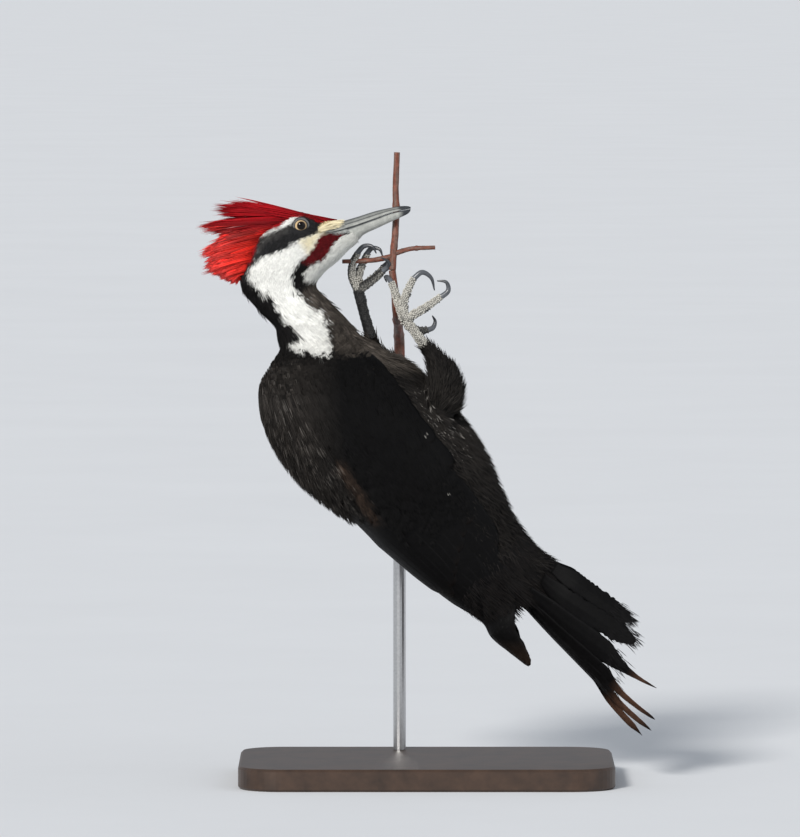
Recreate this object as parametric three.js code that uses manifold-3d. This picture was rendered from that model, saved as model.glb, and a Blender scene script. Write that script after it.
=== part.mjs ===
// Life-size pileated woodpecker clinging to a cut vine stem, held on a plain display stand.
// Millimetres, +Z up. X runs towards the bill and Y across the bird, its left side at +Y. The bird's middle
// plane is Y = 0, and the origin is the centre of the stand's underside.
import * as THREE from "three";
import { mergeVertices } from "three/addons/utils/BufferGeometryUtils.js";
import Module from "manifold-3d";

const wasm = await Module();
wasm.setup();

// ---- Driving dimensions ----
const GAP = 0.3; // kept between touching pieces
const SLIVER = 0.006; // lowest triangle that is kept
const FINENESS = 0.05; // detail that joining and cutting may drop
const BASE = { length: 236, width: 168, height: 14, corner: 26, bevel: 1.5 };
const ROD = { x: -17, y: 60, radius: 4, top: 262 };
const EYE = { x: -78.8, z: 350.4, radius: 5.4, iris: 3.6, stand: 1.1 };
const WING = { length: 221, shoulder: 1.6, thickness: 5.4 };
const TAIL = { root: [57.6, 114.3], axis: [0.696, -0.718], arch: 28 };

// The body from rump to forehead: back and front points [x, z] of the side outline, and half the width.
const BODY = [
  { part: "rump", back: [37.7, 101], front: [84.7, 136.3], half: 18 },
  { part: "vent", back: [17.9, 115.6], front: [67.1, 150.2], half: 25 },
  { part: "loin", back: [-3.1, 131.6], front: [53.9, 169.7], half: 32 },
  { part: "flank", back: [-29.5, 153.5], front: [44.4, 191.1], half: 38.5 },
  { part: "belly", back: [-54.3, 171.1], front: [36.2, 210.7], half: 43 },
  { part: "breast", back: [-80.9, 197.3], front: [24.9, 227.7], half: 45 },
  { part: "mantle", back: [-97.2, 225.2], front: [9.5, 245], half: 44 },
  { part: "shoulder", back: [-101.5, 250.1], front: [-9.4, 263], half: 38 },
  { part: "neck base", back: [-89.3, 275.5], front: [-39, 280], half: 22.5 },
  { part: "lower neck", back: [-96, 286], front: [-53.3, 295.4], half: 19.5 },
  { part: "upper neck", back: [-109.3, 300.1], front: [-63, 305.4], half: 18.5 },
  { part: "nape", back: [-117.5, 313.4], front: [-68.4, 312.7], half: 18.5 },
  { part: "hind head", back: [-115.6, 331.6], front: [-63.3, 320.9], half: 19.5 },
  { part: "cheek", back: [-99.9, 352.4], front: [-55.8, 327.2], half: 18.5 },
  { part: "brow", back: [-81.6, 358], front: [-48.2, 334.8], half: 15.5 },
  { part: "lores", back: [-65.8, 354.4], front: [-45, 337.9], half: 11 },
  { part: "bill base", back: [-52.6, 353.5], front: [-43.8, 340.5], half: 6.8 },
];
const NECK_BASE = 8;
const NAPE = 11;
const BILL_BASE = BODY.length - 1;

// ---- Small tools ----
const v3 = (x, y, z) => new THREE.Vector3(x, y, z);
const flat = ([x, z], y = 0) => v3(x, y, z);
const curveOf = (points) => new THREE.CatmullRomCurve3(points, false, "centripetal");
const steps = (count) => Array.from({ length: count + 1 }, (_, i) => i / count);

// Value of a smooth curve through [x, value] pairs in rising x.
function reading(pairs, x) {
  const last = pairs.length - 1;
  if (x <= pairs[0][0]) return pairs[0][1];
  if (x >= pairs[last][0]) return pairs[last][1];
  const i = pairs.findIndex((p) => p[0] > x) - 1;
  const slope = (k) => {
    const a = pairs[Math.max(k - 1, 0)];
    const b = pairs[Math.min(k + 1, last)];
    return (b[1] - a[1]) / (b[0] - a[0]);
  };
  const [x0, y0] = pairs[i];
  const [x1, y1] = pairs[i + 1];
  const w = x1 - x0;
  const s = (x - x0) / w;
  const rise = slope(i) * w * s * (1 - s) * (1 - s) - slope(i + 1) * w * s * s * (1 - s);
  return y0 + (y1 - y0) * s * s * (3 - 2 * s) + rise;
}

// Closed mesh over rings of equal count. A round ring is closed by a fan. The ring of a thin blade runs
// across its outer face and back under it: it is closed by a ladder, and both faces are split along like
// diagonals.
function loft(rings, blade = false) {
  const count = rings[0].length;
  const points = rings.flat();
  const faces = [];
  for (let k = 0; k + 1 < rings.length; k++) {
    for (let j = 0; j < count; j++) {
      const a = k * count + j;
      const b = k * count + ((j + 1) % count);
      const [c, d] = [a + count, b + count];
      if (blade && j >= count / 2) faces.push([a, b, c], [b, d, c]);
      else faces.push([a, b, d], [a, d, c]);
    }
  }
  for (const [first, turned] of [[0, true], [points.length - count, false]]) {
    const close = (...face) => faces.push(turned ? face.reverse() : face);
    if (blade) {
      for (let j = 0; j + 1 < count / 2; j++) {
        const [a, b] = [first + j, first + j + 1];
        const [c, d] = [first + count - 2 - j, first + count - 1 - j];
        close(a, b, c);
        close(a, c, d);
      }
    } else {
      const middle = v3(0, 0, 0);
      for (let j = 0; j < count; j++) middle.addScaledVector(points[first + j], 1 / count);
      const hub = points.push(middle) - 1;
      for (let j = 0; j < count; j++) close(first + j, first + ((j + 1) % count), hub);
    }
  }
  const geometry = new THREE.BufferGeometry().setFromPoints(points);
  geometry.setIndex(faces.flat());
  return geometry;
}

// A closed three.js geometry as a solid, with its faces turned outwards.
function solidOf(geometry) {
  const bare = geometry.clone();
  bare.deleteAttribute("normal");
  bare.deleteAttribute("uv");
  const merged = mergeVertices(bare, 1e-4);
  const vertProperties = new Float32Array(merged.attributes.position.array);
  const triVerts = new Uint32Array(merged.index.array);
  const made = new wasm.Manifold(new wasm.Mesh({ numProp: 3, vertProperties, triVerts, tolerance: FINENESS }));
  if (made.volume() > 0) return made;
  for (let i = 0; i < triVerts.length; i += 3) {
    [triVerts[i + 1], triVerts[i + 2]] = [triVerts[i + 2], triVerts[i + 1]];
  }
  return new wasm.Manifold(new wasm.Mesh({ numProp: 3, vertProperties, triVerts, tolerance: FINENESS }));
}

const fused = (solids) => solids.reduce((all, next) => all.add(next));

// The largest closed surface of a solid, with any sealed hollow filled.
function largest(solid) {
  const parts = solid.decompose();
  return parts.reduce((a, b) => (b.volume() > a.volume() ? b : a));
}

function geometryOf(solid) {
  const mesh = solid.getMesh();
  const points = [];
  for (let i = 0; i < mesh.vertProperties.length; i += 3) {
    points.push(v3(...mesh.vertProperties.slice(i, i + 3)));
  }
  const faces = [];
  for (let i = 0; i < mesh.triVerts.length; i += 3) faces.push([...mesh.triVerts.slice(i, i + 3)]);
  const geometry = new THREE.BufferGeometry().setFromPoints(points);
  geometry.setIndex(withoutSlivers(points, faces).flat());
  return geometry;
}

// Faces of a closed mesh with its slivers taken out: an edge shorter than SLIVER is drawn together to one
// end, and a triangle lower than SLIVER has its longest edge turned to the corner that lies on it.
function withoutSlivers(points, faces) {
  const span = (a, b) => points[a].distanceTo(points[b]);
  const height = ([a, b, c]) => {
    const area = points[b].clone().sub(points[a]).cross(points[c].clone().sub(points[a])).length();
    return area / Math.max(span(a, b), span(b, c), span(c, a), 1e-9);
  };
  const kept = new Set();
  for (;;) {
    const thin = faces.find((face) => !kept.has(face) && height(face) < SLIVER);
    if (!thin) return faces;
    kept.add(thin);
    const turns = [thin, [thin[1], thin[2], thin[0]], [thin[2], thin[0], thin[1]]];
    turns.sort((p, q) => span(p[0], p[1]) - span(q[0], q[1]));
    const near = turns[0];
    const [a, b, corner] = turns[2];
    const others = (v) => new Set(faces.filter((face) => face.includes(v)).flat());
    if (span(near[0], near[1]) < SLIVER * 2) {
      const [keep, gone] = near;
      const around = others(gone);
      if ([...others(keep)].filter((v) => around.has(v)).length !== 4) continue;
      for (const face of faces.filter((f) => f.includes(gone))) {
        if (face.includes(keep)) faces.splice(faces.indexOf(face), 1);
        else face[face.indexOf(gone)] = keep;
      }
      continue;
    }
    const other = faces.find((face) => [0, 1, 2].some((i) => face[i] === b && face[(i + 1) % 3] === a));
    const apex = other.find((v) => v !== a && v !== b);
    if (others(corner).has(apex)) continue;
    const turned = [[corner, a, apex], [apex, b, corner]];
    if (Math.min(...turned.map(height)) < height(thin)) continue;
    faces = faces.filter((face) => face !== thin && face !== other).concat(turned);
  }
}

// Round tube of changing radius along a curve, closed with flat ends.
function tube(curve, radiusAt, rings, sides, grow = 0) {
  const frames = curve.computeFrenetFrames(rings);
  return loft(
    steps(rings).map((t, k) => {
      const centre = curve.getPointAt(t);
      const radius = radiusAt(t) + grow;
      return steps(sides).slice(0, sides).map((s) => {
        const angle = s * 2 * Math.PI;
        return centre.clone()
          .addScaledVector(frames.normals[k], radius * Math.cos(angle))
          .addScaledVector(frames.binormals[k], radius * Math.sin(angle));
      });
    }),
  );
}

// Draws that come out the same at every run.
let seed = 7;
function draw(low, high) {
  seed = (Math.imul(seed, 1664525) + 1013904223) >>> 0;
  return low + ((high - low) * seed) / 2 ** 32;
}

// One feather as a thin tapered vane on a surface(a, b, height), from its root [a, b] to its tip. Its
// width keeps a small lap over its neighbours at the pitch between them. The edge at higher b stands out
// by the tilt, over the next feather's lower edge, and the root is sunk.
const LONG_VANE = [[0, 0.85], [0.35, 1], [0.8, 0.94], [1, 0.25]]; // share of length and of half width
const SHORT_VANE = [[0, 0.9], [0.76, 1], [1, 0.4]];
const LAP = 1;
const VANE = { tilt: 0.35, thick: 0.55, shaft: 0.25, shape: LONG_VANE };
function vane(surface, root, tip, sizes) {
  const { pitch, half, lift, sunk, tilt, thick, shaft, shape } = { ...VANE, ...sizes };
  const rings = shape.map(([s, share]) => {
    const a = THREE.MathUtils.lerp(root[0], tip[0], s);
    const b = THREE.MathUtils.lerp(root[1], tip[1], s);
    const unit = surface(a, b + 0.01, 0).distanceTo(surface(a, b - 0.01, 0)) / 0.02;
    const ahead = new THREE.Vector2(tip[0] - root[0], (tip[1] - root[1]) * unit).normalize();
    const width = Math.min(half, (THREE.MathUtils.lerp(...pitch, s) * unit) / 2 + LAP) * share;
    const height = s > 0 ? lift : sunk;
    const edge = s < 1 ? thick : 0.4;
    const at = (side, h) =>
      surface(a - ahead.y * width * side, b + (ahead.x * width * side) / unit, height + h);
    const top = [-1, 0, 1].map((side) => at(side, side * tilt + (side ? 0 : shaft)));
    const under = [1, 0, -1].map((side) => at(side, side * tilt + (side ? 0 : shaft) - edge));
    return [...top, ...under];
  });
  return solidOf(loft(rings, true));
}

// ---- Body forms ----
// A form is a stack of oval sections, each between a back point and a front point in the middle plane.
function formOf(stations) {
  return {
    back: curveOf(stations.map((s) => flat(s.back))),
    front: curveOf(stations.map((s) => flat(s.front))),
    half: stations.map((s, i) => [i, s.half]),
    last: stations.length - 1,
  };
}

// Point of a form at station t, phi round the section from the back (0) by the side to the front (pi).
const FULLNESS = 0.88;
function formPoint(form, t, phi, grow = 0) {
  const back = form.back.getPoint(t / form.last);
  const front = form.front.getPoint(t / form.last);
  const reach = back.clone().sub(front).multiplyScalar(0.5);
  const middle = back.add(front).multiplyScalar(0.5);
  const half = reading(form.half, t) + grow;
  const depth = reach.length() + grow;
  const swell = (value) => Math.sign(value) * Math.abs(value) ** FULLNESS;
  return middle
    .addScaledVector(reach.normalize(), depth * swell(Math.cos(phi)))
    .add(v3(0, half * swell(Math.sin(phi)), 0));
}

// Unit vector across a section's plane, towards rising t.
function formAhead(form, t) {
  const back = form.back.getPoint(t / form.last);
  const front = form.front.getPoint(t / form.last);
  const ahead = v3(0, 1, 0).cross(back.sub(front)).normalize();
  const next = formPoint(form, Math.min(t + 0.2, form.last), Math.PI / 2);
  const here = formPoint(form, Math.max(t - 0.2, 0), Math.PI / 2);
  return ahead.dot(next.sub(here)) < 0 ? ahead.negate() : ahead;
}

function formRing(form, t, sides, { grow = 0, shift = 0 } = {}) {
  const offset = formAhead(form, t).multiplyScalar(shift);
  return steps(sides).slice(0, sides).map((s) => formPoint(form, t, s * 2 * Math.PI, grow).add(offset));
}

// The stretch of a form between two stations. The first ring stands a gap ahead of its station.
function formSpan(form, from, to, rings, sides, { grow = 0, shift = 0 } = {}) {
  const stack = steps(rings).map((s, k) =>
    formRing(form, from + (to - from) * s, sides, { grow, shift: k === 0 ? shift : 0 }),
  );
  return solidOf(loft(stack));
}

const bodyForm = formOf(BODY);
const BODY_SIDES = 24;

function torsoSolid() {
  return formSpan(bodyForm, 0, NECK_BASE, 16, BODY_SIDES);
}

function neckSolid() {
  return formSpan(bodyForm, NECK_BASE, NAPE, 6, BODY_SIDES, { shift: GAP });
}

// Everything of the body grown by the gap: what lies on the body is cut clear with this.
function bodyClearance() {
  return formSpan(bodyForm, 0, BILL_BASE, 32, BODY_SIDES, { grow: GAP });
}

// Point on the body's side that is seen at x, z, and the surface's outward direction there.
function bodySide(x, z, from, to) {
  let best = { miss: Infinity };
  for (const s of steps(80)) {
    for (const q of steps(90)) {
      const [t, phi] = [from + (to - from) * s, q * Math.PI];
      const point = formPoint(bodyForm, t, phi);
      const miss = Math.hypot(point.x - x, point.z - z);
      if (miss < best.miss) best = { miss, t, phi, point };
    }
  }
  const { t, phi, point } = best;
  const along = formPoint(bodyForm, t + 0.1, phi).sub(formPoint(bodyForm, t - 0.1, phi));
  const round = formPoint(bodyForm, t, phi + 0.05).sub(formPoint(bodyForm, t, phi - 0.05));
  const out = along.cross(round).normalize();
  return { point, out: out.y < 0 ? out.negate() : out };
}

// ---- Head ----
const eyeSeat = bodySide(EYE.x, EYE.z, 12, 15);
const eyeCentre = (side) => {
  const depth = EYE.radius - EYE.stand;
  const centre = eyeSeat.point.clone().addScaledVector(v3(0, 1, 0), -depth);
  return v3(centre.x, centre.y * side, centre.z);
};

function eyeSolid(side, grow = 0) {
  const ball = new THREE.SphereGeometry(EYE.radius + grow, 12, 8);
  ball.rotateX(Math.PI / 2);
  ball.translate(...eyeCentre(side).toArray());
  return solidOf(ball);
}

// Ring of bare lids round the eye.
function lidSolid(side) {
  const ring = new THREE.TorusGeometry(EYE.iris + 1.1, 1.0, 5, 12);
  ring.rotateX(Math.PI / 2);
  const centre = eyeCentre(side);
  ring.translate(centre.x, side * (eyeSeat.point.y + 0.1), centre.z);
  return solidOf(ring);
}

// Tufts over the nostrils: on each side two tapered blades lie forward along the base of the bill. Each
// has a path [x, y, z] from inside the lores to its tip, and its height along it.
const NASAL_TUFTS = [
  { path: [[-63, 8.4, 350.8], [-55, 7.7, 352], [-45.6, 7, 353.4]], height: [4.2, 3.8, 0.9] },
  { path: [[-63, 9.2, 346.6], [-55, 8.3, 347.7], [-46, 7.05, 349.6]], height: [4.2, 3.8, 0.9] },
];
const NASAL_THICK = 0.9;

function nasalTuft({ path, height }, side) {
  const rings = path.map(([x, y, z], i) => {
    const corner = (a, b) => v3(x, side * y + (b * NASAL_THICK) / 2, z + (a * height[i]) / 2);
    return [corner(-1, 1), corner(1, 1), corner(1, -1), corner(-1, -1)];
  });
  return solidOf(loft(rings, true));
}

function headSolid(billClearance) {
  let head = formSpan(bodyForm, NAPE, BILL_BASE, 10, BODY_SIDES, { shift: GAP });
  for (const side of [-1, 1]) head = fused([head, ...NASAL_TUFTS.map((tuft) => nasalTuft(tuft, side))]);
  for (const side of [-1, 1]) head = head.add(lidSolid(side)).subtract(eyeSolid(side, GAP));
  return largest(head.subtract(billClearance));
}

// ---- Bill ----
// Side outline of the bill: x with the heights of the ridge, mouth line and lower edge, and half the width.
const BILL = [
  { ridge: [-51.9, 353], mouth: [-48.7, 348.9], keel: [-43.5, 341], half: 6.4 },
  { ridge: [-42.9, 355.7], mouth: [-41.4, 351.3], keel: [-39.3, 344.7], half: 5.7 },
  { ridge: [-32.9, 358.9], mouth: [-32, 354.6], keel: [-30.9, 348.7], half: 4.7 },
  { ridge: [-23.3, 361.1], mouth: [-22.8, 358], keel: [-22.2, 352.8], half: 3.7 },
  { ridge: [-16.8, 362.2], mouth: [-16.6, 359.4], keel: [-16.3, 355.5], half: 2.8 },
  { ridge: [-11.9, 362.3], mouth: [-11.8, 360.4], keel: [-11.7, 357.8], half: 1.9 },
  { ridge: [-10, 361.8], mouth: [-10, 360.8], keel: [-10.2, 359.4], half: 1.2 },
];
// Sections from the ridge down to the mouth, and from the mouth down to the keel, as pairs of the share
// of the width and of the height.
const UPPER_SECTION = [[0, 0], [0.42, 0.16], [0.8, 0.55], [1, 1]];
const LOWER_SECTION = [[0.97, 0], [0.86, 0.5], [0.5, 0.9]];

function mandible(from, to, section, lift) {
  const rings = BILL.map((s) => {
    const [top, bottom] = [flat(s[from]), flat(s[to])];
    const half = section.map(([w, h]) => {
      const point = top.clone().lerp(bottom, h);
      return v3(point.x, w * s.half, point.z + lift);
    });
    const other = half.filter((p) => p.y > 0).reverse().map((p) => v3(p.x, -p.y, p.z));
    return [...half, ...other];
  });
  return solidOf(loft(rings));
}

const upperMandible = () => mandible("ridge", "mouth", UPPER_SECTION, GAP / 2);
const lowerMandible = () => mandible("mouth", "keel", LOWER_SECTION, -GAP / 2);

// ---- Crest ----
const CREST_ROOT_FROM = 15.1; // station on the forehead
const CREST_ROOT_TO = 11.4; // station on the nape
const CREST_TIPS = curveOf([
  flat([-84, 358.6]), flat([-127, 364.5]), flat([-143, 349]), flat([-142, 326]), flat([-121, 311]),
]);

function crestRoot(u) {
  return formPoint(bodyForm, CREST_ROOT_FROM + (CREST_ROOT_TO - CREST_ROOT_FROM) * u, 0);
}

// A wedge over the crown, from the head out to a share of the way to the tips.
function crestWedge(share) {
  const rings = steps(8).map((step) => {
    const u = 0.3 + 0.6 * step;
    const root = crestRoot(u);
    const tip = CREST_TIPS.getPoint(u);
    const inside = root.clone().lerp(tip, -0.28);
    const end = root.clone().lerp(tip, share);
    const waist = root.clone().lerp(tip, share * 0.4);
    const half = 7.5 * Math.sin(Math.PI * (0.1 + 0.75 * u));
    return [
      inside.clone().add(v3(0, half, 0)), waist.clone().add(v3(0, half * 0.8, 0)),
      end.clone().add(v3(0, 1.2, 0)), end.clone().add(v3(0, -1.2, 0)),
      waist.clone().add(v3(0, -half * 0.8, 0)), inside.clone().add(v3(0, -half, 0)),
    ];
  });
  return solidOf(loft(rings));
}

// Rows of crest feathers: angle of their roots from the crown's middle line, how many, the share of the
// length out to the tips, and the tips' distance from the middle plane.
const CREST_ROWS = [
  { angle: 0, count: 7, reach: 1, out: 0 },
  { angle: 32, count: 5, reach: 0.92, out: 3 },
  { angle: 60, count: 4, reach: 0.78, out: 6.4 },
];
const CREST_FEATHER = { half: 5, thick: 0.9, twist: 0.16, lean: 0.16, bow: 0.06 };
// Sections of a crest feather: share of its length, of its half width and of its thickness.
const CREST_SECTIONS = [[0, 0.8, 1], [0.4, 1, 1], [0.78, 0.8, 1], [1, 0.2, 0.5]];

// One crest feather: a tapered blade that bends back from its root on the crown to its tip.
function crestFeather(u, row, side) {
  const t = CREST_ROOT_FROM + (CREST_ROOT_TO - CREST_ROOT_FROM) * u;
  const angle = THREE.MathUtils.degToRad(row.angle) * side * (0.4 + 0.6 * u);
  const root = formPoint(bodyForm, t, angle, -2.4 - 1.4 * (1 - u));
  const outward = formPoint(bodyForm, t, angle).sub(root).normalize();
  const tip = root.clone().lerp(CREST_TIPS.getPoint(u), row.reach * draw(0.92, 1));
  tip.y = side * row.out + draw(-0.5, 0.5);
  const rise = CREST_FEATHER.bow * root.distanceTo(tip);
  const bend = root.clone().lerp(tip, 0.5).addScaledVector(outward, rise);
  const curve = new THREE.QuadraticBezierCurve3(root, bend, tip);
  const face = v3(0, side, 0).lerp(outward, (CREST_FEATHER.lean * row.angle) / 30).normalize();
  const rings = CREST_SECTIONS.map(([s, wide, deep]) => {
    const centre = curve.getPoint(s);
    const ahead = curve.getTangent(s);
    const normal = face.clone().applyAxisAngle(ahead, CREST_FEATHER.twist * side);
    const across = normal.clone().cross(ahead).normalize();
    const width = CREST_FEATHER.half * wide;
    const depth = (CREST_FEATHER.thick * deep) / 2;
    const corner = (x, y) =>
      centre.clone().addScaledVector(across, x * width).addScaledVector(normal, y * depth);
    return [corner(-1, 1), corner(1, 1), corner(1, -1), corner(-1, -1)];
  });
  return solidOf(loft(rings, true));
}

function crestSolid(clearance) {
  const feathers = CREST_ROWS.flatMap((row) => {
    const places = Array.from({ length: row.count }, (_, i) => (i + 0.5) / row.count);
    const sides = row.angle ? [-1, 1] : [1];
    return sides.flatMap((side) => places.map((u) => crestFeather(u, row, side)));
  });
  return largest(fused([crestWedge(0.45), ...feathers]).subtract(clearance));
}

// ---- Wings ----
// The folded wing lies on the trunk's form, carried on past the rump to the wing's tip.
const WING_TIP_STATIONS = [
  { back: [42.5, 91.5], front: [80, 122], half: 19 },
  { back: [64.5, 72.7], front: [93, 99], half: 15 },
];
function wingFormOf() {
  const onTrunk = [7.6, 7, 6, 5, 4, 3, 2, 1, 0].map((t) => {
    const back = formPoint(bodyForm, t, 0);
    const front = formPoint(bodyForm, t, Math.PI);
    return { back: [back.x, back.z], front: [front.x, front.z], half: reading(bodyForm.half, t) };
  });
  return formOf([...onTrunk, ...WING_TIP_STATIONS]);
}
const wingForm = wingFormOf();
// Distance along the wing's middle at each station of its form.
const wingRun = [[0, 0]];
for (let i = 1; i <= wingForm.last * 4; i++) {
  const middle = (t) => formPoint(wingForm, t, 0).add(formPoint(wingForm, t, Math.PI)).multiplyScalar(0.5);
  const length = middle(i / 4).distanceTo(middle((i - 1) / 4));
  wingRun.push([wingRun[i - 1][0] + length, i / 4]);
}
const WING_REACH = wingRun[wingRun.length - 1][0];
// Angle round the body, in degrees, of the folded wing's lower edge at each distance along it.
const WING_EDGE = [
  [0, 127], [35, 123.5], [68, 122], [92, 119], [115, 114.5], [142, 109], [176, 76], [205, 48], [221, 34],
];

// Point on the right wing: a along it in mm, f from the back's middle line (0) to the wing's lower edge
// (1), h above the trunk's form.
function onWing(a, f, h) {
  const t = reading(wingRun, (a * WING_REACH) / WING.length);
  const phi = (reading(WING_EDGE, a) * f * Math.PI) / 180;
  const point = formPoint(wingForm, t, phi, h);
  return v3(point.x, -point.y, point.z);
}

// Sheet over the shoulder between two distances along the wing, from the back's edge to the lower edge.
function wingSheet(to, thickness, cells, grow = 0) {
  const rings = steps(cells).map((s) => {
    const a = -2 - grow + (to + 2 + 2 * grow) * s;
    const across = steps(7).map((q) => 0.03 + (0.97 + (grow && 0.12)) * q);
    const outer = across.map((f) => onWing(a, f, thickness + grow));
    const inner = across.map((f) => onWing(a, f, 0.5 - grow));
    return [...outer, ...inner.reverse()];
  });
  return solidOf(loft(rings, true));
}

// Tiers of wing feathers, the outermost first: how many, the run of their roots and of their tips as
// [a, f], the most half width, and the height of their upper face over the trunk's form. The roots of
// each tier are sunk into the tips of the tier over it, and those of the first two into the shoulder.
const WING_TIERS = [
  { name: "scapulars", count: 2, half: 11, lift: 3.3,
    root: [[0, 0.2], [0, 0.06]], tip: [[66, 0.2], [94, 0.07]] },
  { name: "lesser coverts", count: 3, half: 16, lift: 3.3,
    root: [[0, 0.86], [0, 0.36]], tip: [[31, 0.86], [33, 0.62], [33, 0.35]] },
  { name: "median coverts", count: 4, half: 14, lift: 3,
    root: [[19, 0.92], [19, 0.3]], tip: [[52, 0.93], [58, 0.62], [59, 0.29]] },
  { name: "greater coverts", count: 4, half: 14, lift: 2.7,
    root: [[40, 0.92], [42, 0.29]], tip: [[80, 0.93], [89, 0.6], [92, 0.27]] },
  { name: "secondaries", count: 4, half: 12, lift: 2.3,
    root: [[74, 0.78], [76, 0.2]], tip: [[142, 0.76], [154, 0.45], [162, 0.15]] },
  { name: "primaries", count: 5, half: 9, lift: 1.9,
    root: [[70, 0.93], [84, 0.86], [132, 0.6], [142, 0.4], [148, 0.18]],
    tip: [[177, 0.97], [203, 0.78], [221, 0.52], [218, 0.3], [202, 0.12]] },
];
const mixed = (run, u) => {
  const at = u * (run.length - 1);
  const i = Math.min(Math.floor(at), run.length - 2);
  return [0, 1].map((k) => THREE.MathUtils.lerp(run[i][k], run[i + 1][k], at - i));
};

function wingTier({ count, root, tip, half, lift }, tier) {
  const pitch = [root, tip].map((run) => (run[0][1] - run[run.length - 1][1]) / (count - 1));
  return Array.from({ length: count }, (_, i) => {
    const u = i / (count - 1);
    const end = mixed(tip, u);
    end[0] += draw(-1.5, 1.5);
    return vane(onWing, mixed(root, u), end, {
      pitch, half, lift, sunk: tier < 2 ? WING.shoulder - 0.1 : lift + 0.25,
      shape: end[0] < 90 ? SHORT_VANE : LONG_VANE,
    });
  });
}

function wingSolid(clearance) {
  const farSide = solidOf(new THREE.BoxGeometry(400, 100, 500).translate(0, 50 - GAP / 2, 200));
  const feathers = fused([wingSheet(9, WING.shoulder, 2), ...WING_TIERS.flatMap(wingTier)]);
  return largest(feathers.subtract(clearance).subtract(farSide));
}

// ---- Tail ----
// The tail is an arch open to the belly side. Point on it: a along it, q round the arch from its top line.
const tailAxis = flat(TAIL.axis).normalize();
const tailDrop = v3(0, 1, 0).cross(tailAxis).negate();
function onTail(a, q, h) {
  const turn = q / TAIL.arch;
  return flat(TAIL.root)
    .addScaledVector(tailAxis, a)
    .addScaledVector(tailDrop, TAIL.arch - (TAIL.arch + h) * Math.cos(turn))
    .add(v3(0, -(TAIL.arch + h) * Math.sin(turn), 0));
}

// Coverts over and under the tail's root, as a stub that carries the rump on.
const TAIL_STUB = [
  { back: [36.9, 100.4], front: [84.7, 136.3], half: 18 },
  { back: [52, 94], front: [95, 131], half: 18.5 },
  { back: [67, 88], front: [106, 122], half: 19 },
  { back: [76, 88], front: [108, 117], half: 16 },
];
function tailStub(grow = 0) {
  return formSpan(formOf(TAIL_STUB), 0, 3, 6, 20, { grow, shift: GAP - grow });
}

// Feathers of the right half of the tail from the middle out: place round the arch at root and tip, and
// length.
const TAIL_FEATHERS = [
  { root: 3, tip: 5, length: 116, half: 8 },
  { root: 8, tip: 16, length: 115, half: 8.5 },
  { root: 13, tip: 27, length: 110, half: 8.5 },
  { root: 18, tip: 37, length: 97, half: 8 },
  { root: 23, tip: 50, length: 76, half: 7 },
  { root: 27, tip: 58, length: 61, half: 6 },
];
function tailHalf() {
  const last = TAIL_FEATHERS.length - 1;
  const pitch = ["root", "tip"].map((end) => (TAIL_FEATHERS[last][end] - TAIL_FEATHERS[0][end]) / last);
  const blade = { pitch, lift: 1.2, sunk: 0.4, tilt: 0.45, thick: 0.7, shaft: 0.4 };
  return TAIL_FEATHERS.map(({ root, tip, length, half }) =>
    vane(onTail, [4, root], [length, tip], { ...blade, half }),
  );
}

// The space that the tail's feathers keep, grown by the gap.
function tailSpace() {
  const rings = steps(6).map((s) => {
    const spread = 34 + 28 * s;
    const across = steps(12).map((q) => (q * 2 - 1) * spread);
    const outer = across.map((q) => onTail(-1 + 120 * s, q, 2.4));
    const inner = across.map((q) => onTail(-1 + 120 * s, q, -1));
    return [...outer, ...inner.reverse()];
  });
  return solidOf(loft(rings, true));
}

function tailSolid(clearance) {
  const half = fused(tailHalf());
  return largest(fused([tailStub(), half, half.mirror([0, 1, 0])]).subtract(clearance));
}

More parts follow.
